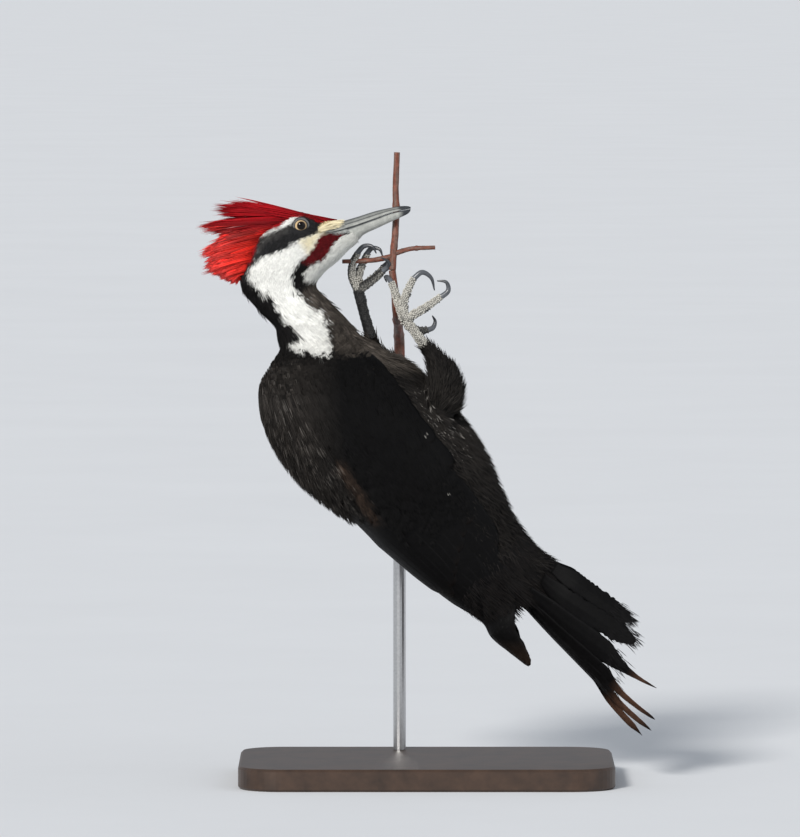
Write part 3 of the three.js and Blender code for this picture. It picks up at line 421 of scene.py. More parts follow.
# %% Markings
BLACK = (0.0060, 0.0055, 0.0056)
SOOT = (0.019, 0.017, 0.0155)
JET = np.array([0.0028, 0.0027, 0.0029])
BAND_TOP = [(-75.1, 343.7), (-80.6, 341.5), (-85.2, 338.8), (-88.9, 336), (-93.5, 333.8), (-99.1, 332.3),
            (-104.6, 329.9), (-109.3, 325.9)]  # the eye stripe's lower edge
BAND_INSIDE = [(-79.7, 305.9), (-84.1, 311.4), (-85.2, 317.1), (-84.3, 322.2), (-81.5, 325.4)]  # the moustache's end
MARKS = [
    ("neck front", (0.062, 0.053, 0.045), 2.5, [
        (-68, 316), (-79, 307), (-72, 299), (-65, 294), (-60, 288), (-57, 275), (-56, 268), (-30, 262), (-10, 262),
        (-20, 280), (-45, 300), (-60, 312)]),
    ("cheek and neck band", (0.93, 0.93, 0.89), 0.7, [
        (-65.4, 345.2), (-69.5, 345.6), *BAND_TOP, (-112.2, 321.3), (-112, 316.7), (-107.4, 311.4),
        (-102.8, 307.7), (-96.7, 305.9), (-94.5, 298.6), (-89.8, 292), (-86, 285.5), (-79.5, 282.8), (-80.4, 277.2),
        (-86.5, 271.5), (-84, 268.4), (-75.1, 267.6), (-68, 265.4), (-58.5, 266), (-58.9, 271.8), (-60.1, 283.9),
        (-62.1, 289.4), (-65.8, 295), (-72.3, 299.6), *BAND_INSIDE, (-78.8, 329.1), (-74.1, 332.8), (-71.2, 337.5),
        (-68.4, 342.1)]),
    ("cream behind the bill", (0.84, 0.77, 0.56), 2.5, [
        (-64.5, 345.8), (-70, 346), (-76, 343.8), (-80, 341), (-77, 335.5), (-73.5, 332.5), (-71, 337.5),
        (-68, 342.1)]),
    ("chin and throat", (0.84, 0.84, 0.79), 0.7, [
        (-52.4, 343.2), (-58, 340.2), (-61.4, 335.6), (-63.8, 329.9), (-68.6, 327.1), (-74.9, 324.3), (-77.6, 319.7),
        (-76.7, 315.1), (-70.4, 313.3), (-65.8, 313.4), (-63, 317.1), (-56.6, 320.8), (-40, 326), (-30, 336),
        (-41.8, 346)]),
    ("moustache's black end", BLACK, 0.6, [
        (-75.1, 325.3), (-78.6, 328), *BAND_INSIDE[::-1], (-76.7, 308.8), (-77.3, 315.1), (-78.2, 319.7),
        (-76, 323.8)]),
    ("moustache", (0.105, 0.006, 0.008), 0.5, [
        (-52.9, 345.2), (-60.3, 345.2), (-65.4, 344.9), (-68.4, 342.1), (-70.4, 338.2), (-72.3, 334.5),
        (-76.7, 329.9), (-78.6, 328), (-75.1, 325.3), (-68.6, 327.9), (-63.8, 330.1), (-61.4, 335.6), (-58, 340.2),
        (-52.9, 343.2)]),
    ("eye stripe", (0.020, 0.020, 0.021), 0.6, [
        (-67.2, 351.1), (-70.4, 352.4), (-74, 355), (-78.8, 355.9), (-82.8, 353.6), (-85, 350.2), (-89.4, 347.6),
        (-93.2, 346.2), (-97.2, 344.7), (-102, 341.3), (-105.6, 338.6), (-107.2, 335.4), (-108.7, 331),
        (-110.7, 327.1), (-113.5, 322.5), (-117.1, 316.7), (-114.6, 313.4), (-112, 320.8), *BAND_TOP[::-1],
        (-70.4, 345.8), (-67.2, 348.4)]),
    ("line over the eye", (0.93, 0.93, 0.89), 0.45, [
        (-80.1, 355.9), (-85.2, 355.8), (-88.5, 353.6), (-93.5, 349.6), (-98.6, 347.7), (-102.6, 344.9),
        (-104.6, 342.4), (-102, 343.2), (-97.2, 345.9), (-93.2, 347.4), (-89.4, 349),
        (-85.4, 351.6), (-83.4, 353.6)]),
    ("behind the eye stripe", (0.060, 0.058, 0.056), 1.6, [
        (-86, 350.5), (-93.5, 347.4), (-99, 345.6), (-104.4, 340.8), (-107, 335), (-109, 330.4), (-106, 331.4),
        (-103.4, 336.2), (-99.4, 340.6), (-93, 343.6), (-87, 346.6)]),
    ("gape", (0.40, 0.41, 0.39), 0.5, [
        (-63.5, 346.2), (-58, 345.4), (-52, 345.2), (-44, 345), (-40, 352), (-50, 354), (-56, 351.2), (-60, 348.6)]),
    ("mouth line", (0.03, 0.03, 0.03), 0.4, [
        (-62, 346.8), (-57, 347.2), (-50, 348.2), (-44, 350), (-44, 351), (-50, 349.4), (-57, 348)]),
    ("bristles over the nostrils", (0.85, 0.72, 0.42), 0.5, [
        (-52, 354), (-57, 354.2), (-62.3, 353.2), (-66.4, 351), (-68.4, 348.6), (-67.6, 346.6), (-64.6, 346.8),
        (-60.4, 349), (-54.5, 352)]),
    # painted shade: the crown's dark crimson is the bird's red as painted in shade
    ("crown", (0.36, 0.004, 0.008), 0.6, [
        (-54, 354), (-62.6, 353), (-67.2, 351.9), (-70.4, 353.4), (-74.1, 355.6), (-78.8, 356.6), (-85.2, 356.2),
        (-88.5, 354), (-93.5, 349.4), (-99.1, 347.8), (-103.7, 344.4), (-106.3, 340), (-107.4, 335.6),
        (-109.1, 331), (-110.9, 327.3), (-113.9, 322.7), (-118, 317.1), (-119.6, 311.1), (-130.5, 307.9),
        (-158, 313), (-168, 380), (-54, 380)]),
]


def off_line(x, z, start, end):
    """Distance from a straight line's nearest point."""
    (x0, z0), (x1, z1) = start, end
    dx, dz = x1 - x0, z1 - z0
    s = np.clip(((x - x0) * dx + (z - z0) * dz) / (dx * dx + dz * dz), 0, 1)
    return np.hypot(x - x0 - s * dx, z - z0 - s * dz)


def depth_inside(x, z, outline):
    """Distance in millimetres from an outline's edge, positive inside it."""
    corners = np.array(outline, float)
    nearest = np.full(x.shape, 1e9)
    inside = np.zeros(x.shape, bool)
    for (x0, z0), (x1, z1) in zip(corners, np.roll(corners, -1, axis=0)):
        nearest = np.minimum(nearest, off_line(x, z, (x0, z0), (x1, z1)))
        if z1 != z0:
            inside ^= ((z0 > z) != (z1 > z)) & (x < x0 + (x1 - x0) * (z - z0) / (z1 - z0))
    return np.where(inside, nearest, -nearest)


def plumage_colour(points, ragged=0.0):
    """Colour of the coat at points on the skin. Ragged edges wander by that many millimetres."""
    x, z = points[:, 0], points[:, 2]
    if np.any(ragged):
        x = x + rng.normal(0, ragged, x.shape)
        z = z + rng.normal(0, ragged, z.shape)
    colour = np.empty((len(points), 3))
    low = np.clip((262 - z) / 30, 0, 1)[:, None]
    front = np.clip((x + 1.18 * (z - 220) + 10) / 40, 0, 1)[:, None]
    colour[:] = BLACK
    colour += (np.array(SOOT) - np.array(BLACK)) * low * front
    for name, paint, soft, outline in MARKS:
        share = np.clip(depth_inside(x, z, outline) / soft * 0.5 + 0.5, 0, 1)[:, None]
        colour += (np.array(paint) - colour) * share
    return colour


CROWN = MARKS[-1][3]


def worn_colour(roots, reach, ragged):
    """Colour of tufts as the markings are where their outer ends show, not at their hidden roots."""
    return plumage_colour(roots["root"] + roots["lie"] * np.reshape(reach, (-1, 1)), ragged)


print("markings:", ", ".join(mark[0] for mark in MARKS))

# %% [markdown]
# A feather's or tuft's colour comes from its own points, and a little grain over it keeps it from looking painted.
# The grain is one node group that all the bird's finishes share, each with its own scale and strength.


# %% Grain group and finishes
def wire(tree, kinds, values, links):
    """Adds a node for each key, sets its values and links it.

    A value stands under "key.input" or "key:property", and a link is "key.output > key.input".
    """
    nodes = {key: tree.nodes.new(kind) for key, kind in kinds.items()}
    nodes["shader"] = tree.nodes.get("Principled BSDF")

    def socket(path, way):
        key, name = path.split(".")
        return getattr(nodes[key], way)[int(name) if name.isdigit() else name]

    for path, value in values.items():
        if ":" in path:
            key, name = path.split(":")
            setattr(nodes[key], name, value)
        else:
            socket(path, "inputs").default_value = value
    for link in links:
        start, end = link.split(" > ")
        tree.links.new(socket(start, "outputs"), socket(end, "inputs"))


def group_of(name, kind, inputs, outputs):
    """An empty node group with its sockets."""
    tree = bpy.data.node_groups.new(name, kind)
    for way, sockets in (("INPUT", inputs), ("OUTPUT", outputs)):
        for label, socket in sockets.items():
            tree.interface.new_socket(label, in_out=way, socket_type="NodeSocket" + socket)
    return tree


def grain_group():
    tree = group_of("grain", "ShaderNodeTree", {"Colour": "Color", "Scale": "Float", "Strength": "Float"},
                    {"Colour": "Color", "Height": "Float"})
    wire(tree, {
        "start": "NodeGroupInput", "end": "NodeGroupOutput", "place": "ShaderNodeTexCoord",
        "noise": "ShaderNodeTexNoise", "spread": "ShaderNodeMapRange", "mix": "ShaderNodeMix",
    }, {
        "noise.Detail": 6, "noise.Roughness": 0.65, "mix:data_type": "RGBA", "mix:blend_type": "MULTIPLY",
        "spread.From Min": 0.3, "spread.From Max": 0.7, "spread.To Min": 0.25, "spread.To Max": 1.25,
    }, [
        "place.Object > noise.Vector", "start.Scale > noise.Scale", "noise.Fac > spread.Value",
        "start.Strength > mix.Factor", "start.Colour > mix.6", "spread.Result > mix.7", "mix.2 > end.Colour",
        "noise.Fac > end.Height",
    ])
    return tree


GRAIN = grain_group()


def finish_of(name, colour=None, roughness=0.6, grain=(900, 0.35), bump=(0.0, 0.0002), **fixed):
    """A finish whose colour is fixed or, without one, the points' own, with the grain over it."""
    made = bpy.data.materials.new(name)
    made.use_nodes = True
    kinds, links = {"grain": "ShaderNodeGroup"}, ["grain.Colour > shader.Base Color"]
    values = {"shader.Roughness": roughness} | {"shader." + key.replace("_", " "): fixed[key] for key in fixed}
    values |= {"grain:node_tree": GRAIN, "grain.Scale": grain[0], "grain.Strength": grain[1]}
    if colour is None:
        kinds["own"], values["own:attribute_name"] = "ShaderNodeAttribute", "tint"
        links.append("own.Color > grain.Colour")
    else:
        values["grain.Colour"] = (*colour, 1)
    if bump[0]:
        kinds["ridge"] = "ShaderNodeBump"
        values |= {"ridge.Strength": bump[0], "ridge.Distance": bump[1]}
        links += ["grain.Height > ridge.Height", "ridge.Normal > shader.Normal"]
    wire(made.node_tree, kinds, values, links)
    return made


SOFT_PLUMAGE = finish_of("soft plumage", roughness=0.75, grain=(700, 0.18), Specular_IOR_Level=0.1)
SKIN_FINISH = finish_of("skin under the plumage", roughness=0.9, grain=(500, 0.25), bump=(0.3, 0.0003),
                        Specular_IOR_Level=0.1)


def wear(obj, finish, slot, *nodes):
    """Gives a piece its finish, its body and the nodes that it stands for. The slot is not used."""
    obj.data.materials.clear()
    obj.data.materials.append(finish)
    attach(obj, "root")
    if nodes:
        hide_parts(*nodes)
    print(obj.name, triangles_in(obj), "triangles")


def dress_skin():
    mesh = skin.data
    paint(mesh, plumage_colour(hide["points"]) * 0.9)
    loops = np.empty(len(mesh.loops), np.int32)
    mesh.loops.foreach_get("vertex_index", loops)
    owner = np.repeat(np.arange(len(mesh.polygons)), [len(p.vertices) for p in mesh.polygons])
    u, v = hide["unwrap"][loops].T
    high = np.zeros(len(mesh.polygons))
    np.maximum.at(high, owner, u)
    u = u + ((high[owner] - u) > 0.5)
    lay_out(mesh, "OFBake", np.stack([u, v], 1))
    wear(skin, SKIN_FINISH, "body_feathers", "torso", "neck", "head", "thigh_right", "thigh_left")


dress_skin()

# %% [markdown]
# A tuft is a fan of fine barbs from one root. Each barb is a closed three-sided spike with a bend, so it has no
# open edge and costs ten triangles. Tufts are sown face by face over the skin, each with its place on the unwrap.


# %% Sowing and tufts
def halves(roots):
    """The roots of the right and of the left side."""
    for side, name in ((-1, "right"), (1, "left")):
        keep = roots["root"][:, 1] * side > 0
        yield name, {key: value[keep] for key, value in roots.items()}


def sow(where, spacing):
    """Roots on the skin where a mask over its points is true, about one for each square of the spacing."""
    corners = hide["corners"]
    a, b, c = (hide["points"][corners[:, k]] for k in range(3))
    area = np.linalg.norm(np.cross(b - a, c - a), axis=1) / 2
    keep = where[corners].all(axis=1)
    hits = np.floor(area / spacing**2 * keep + rng.random(len(area))).astype(int) * keep
    chosen = np.repeat(np.arange(len(area)), hits)
    share = rng.random((len(chosen), 2))
    flip = share.sum(1) > 1
    share[flip] = 1 - share[flip]
    weights = np.stack([1 - share.sum(1), share[:, 0], share[:, 1]], 1)
    blend = lambda values: np.einsum("nk,nk...->n...", weights, values[corners[chosen]])
    place = np.einsum("nk,nkc->nc", weights, hide["places"][chosen])
    up = unit(blend(hide["normals"]))
    lie = blend(hide["lie"])
    lie = unit(lie - up * np.sum(lie * up, 1, keepdims=True))
    place[:, 0] %= 1.0
    return {"root": blend(hide["points"]), "up": up, "lie": lie, "place": place, "station": blend(hide["station"]),
            "turn": hide["turn"][corners[chosen, 0]]}


def sow_on(surface, first, second, spacing):
    """Roots on surface(p, q, height), evenly by area over two ranges. The plumage lies along rising p."""
    step_p, step_q = (first[1] - first[0]) * 1e-3, (second[1] - second[0]) * 1e-3
    level = lambda p: np.zeros_like(p)

    def slopes(p, q):
        along = (surface(p + step_p, q, level(p)) - surface(p - step_p, q, level(p))) / (2 * step_p)
        across = (surface(p, q + step_q, level(p)) - surface(p, q - step_q, level(p))) / (2 * step_q)
        return along, np.linalg.norm(np.cross(along, across), axis=1)

    draw = lambda count: (rng.uniform(*first, count), rng.uniform(*second, count))
    sizes = slopes(*draw(3000))[1]
    count = int(sizes.mean() * (first[1] - first[0]) * (second[1] - second[0]) / spacing**2)
    p, q = draw(int(count * sizes.max() / sizes.mean()))
    along, size = slopes(p, q)
    keep = rng.random(len(p)) < size / sizes.max()
    p, q, along = p[keep], q[keep], along[keep]
    root = surface(p, q, level(p))
    up = unit(surface(p, q, level(p) + 1) - root)
    lie = unit(along - up * np.sum(along * up, 1, keepdims=True))
    return {"root": root, "up": up, "lie": lie, "p": p, "q": q}


def fans(roots, barbs, spread, fan):
    """Repeats each root for its barbs, set side by side and fanned out."""
    count = len(roots["root"])
    many = {key: np.repeat(value, barbs, axis=0) for key, value in roots.items()}
    step = np.tile(np.linspace(-1, 1, barbs), count)
    step = step + rng.normal(0, 0.12, step.shape)
    side = np.cross(many["lie"], many["up"])
    angle = (step * fan)[:, None]
    many["root"] = many["root"] + side * (step * spread)[:, None]
    many["lie"] = unit(many["lie"] * np.cos(angle) + side * np.sin(angle))
    many["tuft"] = np.repeat(np.arange(count), barbs)
    return many


PATCH = 0.003  # width of a tuft's place on the unwrap
BARB_RIDGE = 0.55  # height of a barb's ridge for each unit of its half width


def spikes(name, many, shares, ring_at, smooth=False):
    """Closed three-sided spikes. ring_at(share) gives their three corners, or the tip alone, and the colour."""
    points, tints, places = [], [], []
    for s in shares:
        ring, tint = ring_at(s)
        for k, point in enumerate(ring):
            points.append(point)
            tints.append(tint)
            places.append(many["place"] + np.array([(k - 1) * 0.3, s - 0.5]) * PATCH)
    count, per, last = len(many["place"]), len(points), 3 * (len(shares) - 2)
    quads = [[3 * r + j, 3 * r + 3 + j, 3 * r + 3 + (j + 1) % 3, 3 * r + (j + 1) % 3]
             for r in range(len(shares) - 2) for j in range(3)]
    ends = [[0, 1, 2]] + [[last + j, per - 1, last + (j + 1) % 3] for j in range(3)]
    first = np.arange(count)[:, None, None] * per
    faces = [(first + np.array(f)).reshape(-1, len(f[0])) for f in (quads, ends)]
    stack = lambda rows: np.stack(rows, 1).reshape(count * per, -1)
    return mesh_from(name, stack(points), faces, stack(tints), stack(places), smooth)


def barbs(name, slot, many, length, half, lift, curl, colour, tips, sunk=0.4, rings=3):
    """A piece of spikes from their roots. Height over the skin is length * (lift * s + curl * s * s)."""
    side = np.cross(many["lie"], many["up"])
    each = lambda value: np.broadcast_to(np.asarray(value, float), (len(side),))
    length, half, lift, curl = each(length), each(half), each(lift), each(curl)

    def ring_at(s):
        rise = length * (lift * s + curl * s * s) - sunk * (1 - s)
        centre = many["root"] + many["lie"] * (length * s)[:, None] + many["up"] * rise[:, None]
        width = half * (0.55 + 0.9 * s if s < 0.5 else 2.0 * (1 - s))
        ring = [centre] if s == 1 else [
            centre - side * width[:, None], centre + side * width[:, None],
            centre + many["up"] * (width * BARB_RIDGE)[:, None]]
        return ring, colour + (tips - colour) * s

    wear(spikes(name, many, np.linspace(0, 1, rings), ring_at), SOFT_PLUMAGE, slot)


def varied(colour, tufts, amount):
    """The colour made lighter or darker tuft by tuft, white less than dark."""
    shade = rng.normal(0, amount, tufts.max() + 1)[tufts][:, None]
    return colour * np.exp(shade * (1 - 0.75 * colour.max(axis=1, keepdims=True)))


# %% [markdown]
# The face has the shortest feathers, hardly longer than they are apart. They grow towards the neck, and leave a
# bare ring for the eyelids.

# %% Face coat
EYE = {"x": -78.8, "z": 350.4, "radius": 5.4, "lids": 5.0}


def make_face():
    off_lids = np.hypot(hide["points"][:, 0] - EYE["x"], hide["points"][:, 2] - EYE["z"]) >= EYE["lids"] - 0.3
    where = (hide["station"] > 10.8) & (hide["station"] < 19) & off_lids
    for name, roots in halves(sow(where, 0.97)):
        many = fans(roots, 3, spread=0.3, fan=0.2)
        grown = np.interp(roots["station"], [10.8, 12, 14, 16], [5.0, 3.8, 2.5, 1.8])
        ragged = np.interp(roots["station"], [11.3, 13], [1.0, 0.4])
        colour = varied(np.repeat(worn_colour(roots, grown * 0.75, ragged), 3, axis=0), many["tuft"], 0.3)
        length = np.repeat(grown, 3) * rng.uniform(0.8, 1.2, len(colour))
        lift = rng.uniform(0.10, 0.26, len(colour))
        barbs("face_tufts_" + name, "face_feathers", many, length, half=0.215, lift=lift, curl=-0.06,
              colour=colour * 0.8, tips=colour * 0.98, sunk=0.1)


make_face()

# %% [markdown]
# The neck's feathers are longer and silkier. Their ends are ragged where white meets black.


# %% Neck coat
def make_neck():
    for name, roots in halves(sow((hide["station"] > 7.2) & (hide["station"] <= 11.1), 1.54)):
        many = fans(roots, 5, spread=0.6, fan=0.2)
        grown = np.interp(roots["station"], [7.2, 8.5, 11], [11, 9, 6.5])
        colour = varied(np.repeat(worn_colour(roots, grown * 0.7, 1.1), 5, axis=0), many["tuft"], 0.5)
        length = np.repeat(grown, 5) * rng.uniform(0.75, 1.15, len(colour))
        loose = np.repeat(rng.random(len(grown)) < 0.06, 5) & (colour.max(axis=1) < 0.1)
        lift = rng.uniform(0.10, 0.2, len(colour)) + 0.22 * loose
        barbs("neck_tufts_" + name, "body_feathers", many, length, half=0.275, lift=lift, curl=-0.08,
              colour=colour * 0.74, tips=colour * 0.92, sunk=0.1)


make_neck()

# %% [markdown]
# The folded wing lies on the trunk's own form, carried on past the rump to its tip. A place on it is the distance
# along it, the share of the way from the back's middle line to its lower edge, and the height over the trunk.

# %% Wing surface
WING = {"length": 221, "tip": [((42.5, 91.5), (80, 122), 19), ((64.5, 72.7), (93, 99), 15)]}
WING_EDGE = [(0, 127), (35, 123.5), (68, 122), (92, 119), (115, 114.5), (142, 109), (176, 80), (205, 62), (221, 52)]


def wing_form_of():
    rows = []
    for t in (7.6, 7, 6, 5, 4, 3, 2, 1, 0):
        back, front, wide = (body_point(np.array([float(t)]), np.array([p]))[0] for p in (0, np.pi, np.pi / 2))
        rows.append(((back[0], back[2]), (front[0], front[2]), wide[1]))
    return form_of(rows + WING["tip"]), len(rows) + len(WING["tip"]) - 1


wing_form, WING_LAST = wing_form_of()


def wing_run_of():
    t = np.linspace(0, WING_LAST, WING_LAST * 4 + 1)
    middle = (wing_form(t, np.zeros_like(t)) + wing_form(t, np.full_like(t, np.pi))) / 2
    steps = np.linalg.norm(np.diff(middle, axis=0), axis=1)
    return np.stack([np.concatenate([[0], np.cumsum(steps)]), t], 1)


WING_RUN = wing_run_of()


def on_wing(a, f, h):
    """Point of the right wing."""
    t = reading(WING_RUN, np.asarray(a) * WING_RUN[-1, 0] / WING["length"])
    phi = np.radians(reading(WING_EDGE, a)) * f
    h = h + np.interp(a, [96, 116, 150, 205], [0, 4.0, 3.8, 0]) * np.clip(1 - 1.4 * np.asarray(f), 0, 1)
    return wing_form(t, phi, h) * np.array([1, -1, 1])


print("wing surface reaches", on_wing(np.array([221.0]), np.array([0.5]), np.array([0.0]))[0])

# %% [markdown]
# The trunk's plumage is longer and looser, most of all on the belly, where it fluffs out and its tips are paler.
# Under the folded wings nothing shows, so the roots stop a little way in from the wing's edge.


# %% Trunk coat
def wing_cover(station, turn):
    """How far under the folded wing a place on the trunk is, as a share of the way to the wing's lower edge."""
    index = np.where(station <= 7, 8 - station, (7.6 - station) / 0.6)
    run = np.interp(index, WING_RUN[:, 1], WING_RUN[:, 0]) * WING["length"] / WING_RUN[-1, 0]
    turn = np.where(turn > np.pi, 2 * np.pi - turn, turn)
    return turn / np.radians(reading(WING_EDGE, run))


FLECKED = [(-11.7, 252.9), (2.2, 249.7), (14.8, 237.1), (24.3, 221.4), (22.4, 206), (11.7, 209), (-0.9, 227.7),
           (-9.1, 240.3)]


def trunk_tufts(name, where, spacing, long, fan, lift, rough):
    roots = sow(where, spacing)
    many = fans(roots, 6, spread=0.8, fan=fan)
    colour = varied(np.repeat(plumage_colour(roots["root"], 1.2), 6, axis=0), many["tuft"], rough)
    length = long * rng.uniform(0.65, 1.2, len(colour))
    tips = colour + np.array([0.016, 0.014, 0.012]) * rng.uniform(0, 1.3, len(colour))[:, None]
    inside = (depth_inside(roots["root"][:, 0], roots["root"][:, 2], FLECKED) > 0) & (roots["station"] < 8)
    fleck = np.repeat(inside & (rng.random(len(inside)) < 0.45), 6) & (rng.random(len(colour)) < 0.5)
    tips[fleck] = np.array([0.42, 0.40, 0.37]) * rng.uniform(0.2, 1.3, (fleck.sum(), 1))
    length = np.where(fleck, length * 0.6, length)
    lift = lift * rng.uniform(0.6, 1.3, len(colour)) ** 2
    barbs(name, "body_feathers", many, length, half=0.38, lift=lift, curl=-0.14, colour=colour * 0.75, tips=tips)


trunk = (hide["station"] <= 7.5) & (hide["station"] > 0.45)
cover = wing_cover(hide["station"], hide["turn"])
belly = trunk & (cover > 0.84)
upper_belly = belly & (hide["station"] > 4.2)
trunk_tufts("breast_tufts", upper_belly, spacing=1.95, long=10, fan=0.34, lift=0.30, rough=0.35)
trunk_tufts("belly_tufts", belly & ~upper_belly, spacing=2.1, long=11, fan=0.4, lift=0.34, rough=0.35)
trunk_tufts("back_tufts", trunk & (cover < 0.25), spacing=3.4, long=11, fan=0.3, lift=0.08, rough=0.3)
trunk_tufts("thigh_tufts", hide["station"] > 19.5, spacing=1.6, long=8, fan=0.36, lift=0.38, rough=0.35)

# %% [markdown]
# Coverts carry the trunk's outline on over the root of the tail. The ones below it are the longest, and reach a
# third of the way along the tail's sides.


# %% Tail coverts
def past_rump(p, q, h):
    """Trunk surface with p rising towards the tail."""
    return body_point(1.45 - p, q, h - 1.2 + 0.9 * np.clip(-np.cos(q), 0, 1))


def tail_coverts(name, turns, longest, lift):
    roots = sow_on(past_rump, (0.0, 1.4), turns, 2.75)
    roots["place"] = skin_place(roots["q"], 1.45 - roots["p"])
    many = fans(roots, 6, spread=0.9, fan=0.16)
    colour = varied(np.tile(JET, (len(many["root"]), 1)) * 1.3, many["tuft"], 0.3)
    length = np.interp(many["p"], [0, 1.4], [16, longest]) * rng.uniform(0.6, 1.05, len(colour))
    worn = colour + np.array([0.009, 0.007, 0.006]) * rng.random((len(colour), 1))
    lift = lift * np.clip(-np.cos(many["q"]), 0.2, 1) ** 2
    barbs(name, "body_feathers", many, length, half=0.5, lift=lift, curl=-0.02, colour=colour, tips=worn, rings=5)


tail_coverts("vent_tufts", (0.5 * np.pi, 1.5 * np.pi), longest=44, lift=0.12)
tail_coverts("rump_tufts", (-0.5 * np.pi, 0.5 * np.pi), longest=15, lift=0.0)

# %% [markdown]
# A flight feather is a long vane with a shaft. Its web is made of barbs that split here and there along the edge.
# Each vane is a thin closed blade with its own unwrap, along by across, and the fine barbs are drawn on it by a
# pattern that reads this unwrap. The blade follows the wing's surface, and the edge towards the body rides over
# the next feather.


# %% Vanes
LONG_VANE = [(0, 0.5), (0.12, 0.85), (0.35, 1), (0.7, 1), (0.88, 0.92), (0.95, 0.74), (0.985, 0.5), (1, 0.25)]
ROUND_VANE = [(0, 0.6), (0.3, 0.9), (0.65, 1), (0.85, 0.86), (0.95, 0.58), (1, 0.2)]


VANE_THICK = 0.24


def vane(surface, root, tip, half, lift, sunk, shape, rings, across, notch, place, tilt=0.14, crown=0.14):
    """Points, faces, vane unwrap and bake patch of one feather on a surface(a, b, height)."""
    s = np.linspace(0, 1, rings)[:, None]
    c = np.linspace(-1, 1, across)[None, :]
    a = root[0] + (tip[0] - root[0]) * s
    b = root[1] + (tip[1] - root[1]) * s
    beside = [surface(a[:, 0], b[:, 0] + step, np.zeros(rings)) for step in (0.01, -0.01)]
    unit_b = np.linalg.norm(beside[0] - beside[1], axis=1) / 0.02
    drift = np.gradient(b[:, 0]) * unit_b
    along = np.gradient(a[:, 0])
    size = np.hypot(along, drift)
    ahead_a, ahead_b = (along / size)[:, None], (drift / size)[:, None]
    width = half * np.interp(s, *np.array(shape).T)
    ragged = 1 - notch * rng.random((rings, 2)) ** 2 * (s > 0.25)
    edge = np.where(c < 0, ragged[:, :1], ragged[:, 1:])
    rim = np.abs(c) > 0.9
    reach = c * width * np.where(rim, edge, 1)
    rise = lift + (sunk - lift) * np.clip(1 - s / 0.3, 0, 1) ** 1.5
    shaft = crown * np.exp(-((c / 0.12) ** 2)) * (1 - 0.6 * s)
    height = rise + tilt * c + shaft - 0.16 * rim
    at = lambda h: surface(a - ahead_b * reach, b + ahead_a * reach / unit_b[:, None], h)
    points = np.concatenate([at(height), at(height - VANE_THICK * (1.25 - s))[:, ::-1]], axis=1)
    sides = across * 2
    ladder = np.array([[j, j + 1, sides - 2 - j, sides - 1 - j] for j in range(across - 1)])
    faces = np.vstack([grid_faces(rings, sides), ladder[:, ::-1], ladder + (rings - 1) * sides])
    web = np.stack(np.broadcast_arrays(s, np.concatenate([c, c[:, ::-1]], axis=1)), -1)
    bake = np.array(place) + (web * [0.5, 0.25] + [-0.25, 0]) * PATCH * 2
    return points.reshape(-1, 3), faces, web.reshape(-1, 2), bake.reshape(-1, 2)


def gather(name, vanes, mirror=False):
    """One object of many vanes, with their web unwrap beside the bake one. The mirror image is the left side's."""
    points, faces, webs, bakes, tints = zip(*vanes)
    starts = np.cumsum([0] + [len(p) for p in points[:-1]])
    points, faces = np.vstack(points), np.vstack([f + start for f, start in zip(faces, starts)])
    if mirror:
        points, faces = points * [1, -1, 1], faces[:, ::-1]
    obj = mesh_from(name, points, [faces], np.vstack(tints), np.vstack(bakes))
    lay_out(obj.data, "web", np.vstack(webs)[faces.ravel()])
    return obj


def feather_finish():
    """Barbs slant from the shaft to the edge, as fine lines on the web's unwrap."""
    made = finish_of("flight feathers", roughness=0.58, grain=(260, 0.5), Specular_IOR_Level=0.08)
    wire(made.node_tree, {
        "web": "ShaderNodeUVMap", "parts": "ShaderNodeSeparateXYZ", "bend": "ShaderNodeMath",
        "slant": "ShaderNodeMath", "lines": "ShaderNodeMath", "ridge": "ShaderNodeBump", "scale": "ShaderNodeMath",
    }, {
        "web:uv_map": "web", "bend:operation": "ABSOLUTE", "slant:operation": "MULTIPLY_ADD", "slant.1": -0.12,
        "lines:operation": "PINGPONG", "lines.1": 0.006, "scale:operation": "MULTIPLY", "scale.1": 160,
        "ridge.Strength": 0.5, "ridge.Distance": 0.00012,
    }, [
        "web.UV > parts.Vector", "parts.Y > bend.0", "bend.0 > slant.0", "parts.X > slant.2", "slant.0 > lines.0",
        "lines.0 > scale.0", "scale.0 > ridge.Height", "ridge.Normal > shader.Normal",
    ])
    return made


FLIGHT = feather_finish()

# %% [markdown]
# The wing's feathers lie in tiers like tiles, each tier's roots under the tips of the one above. The upper tiers
# are small and soft, and the flight feathers are long, with worn brown ends.

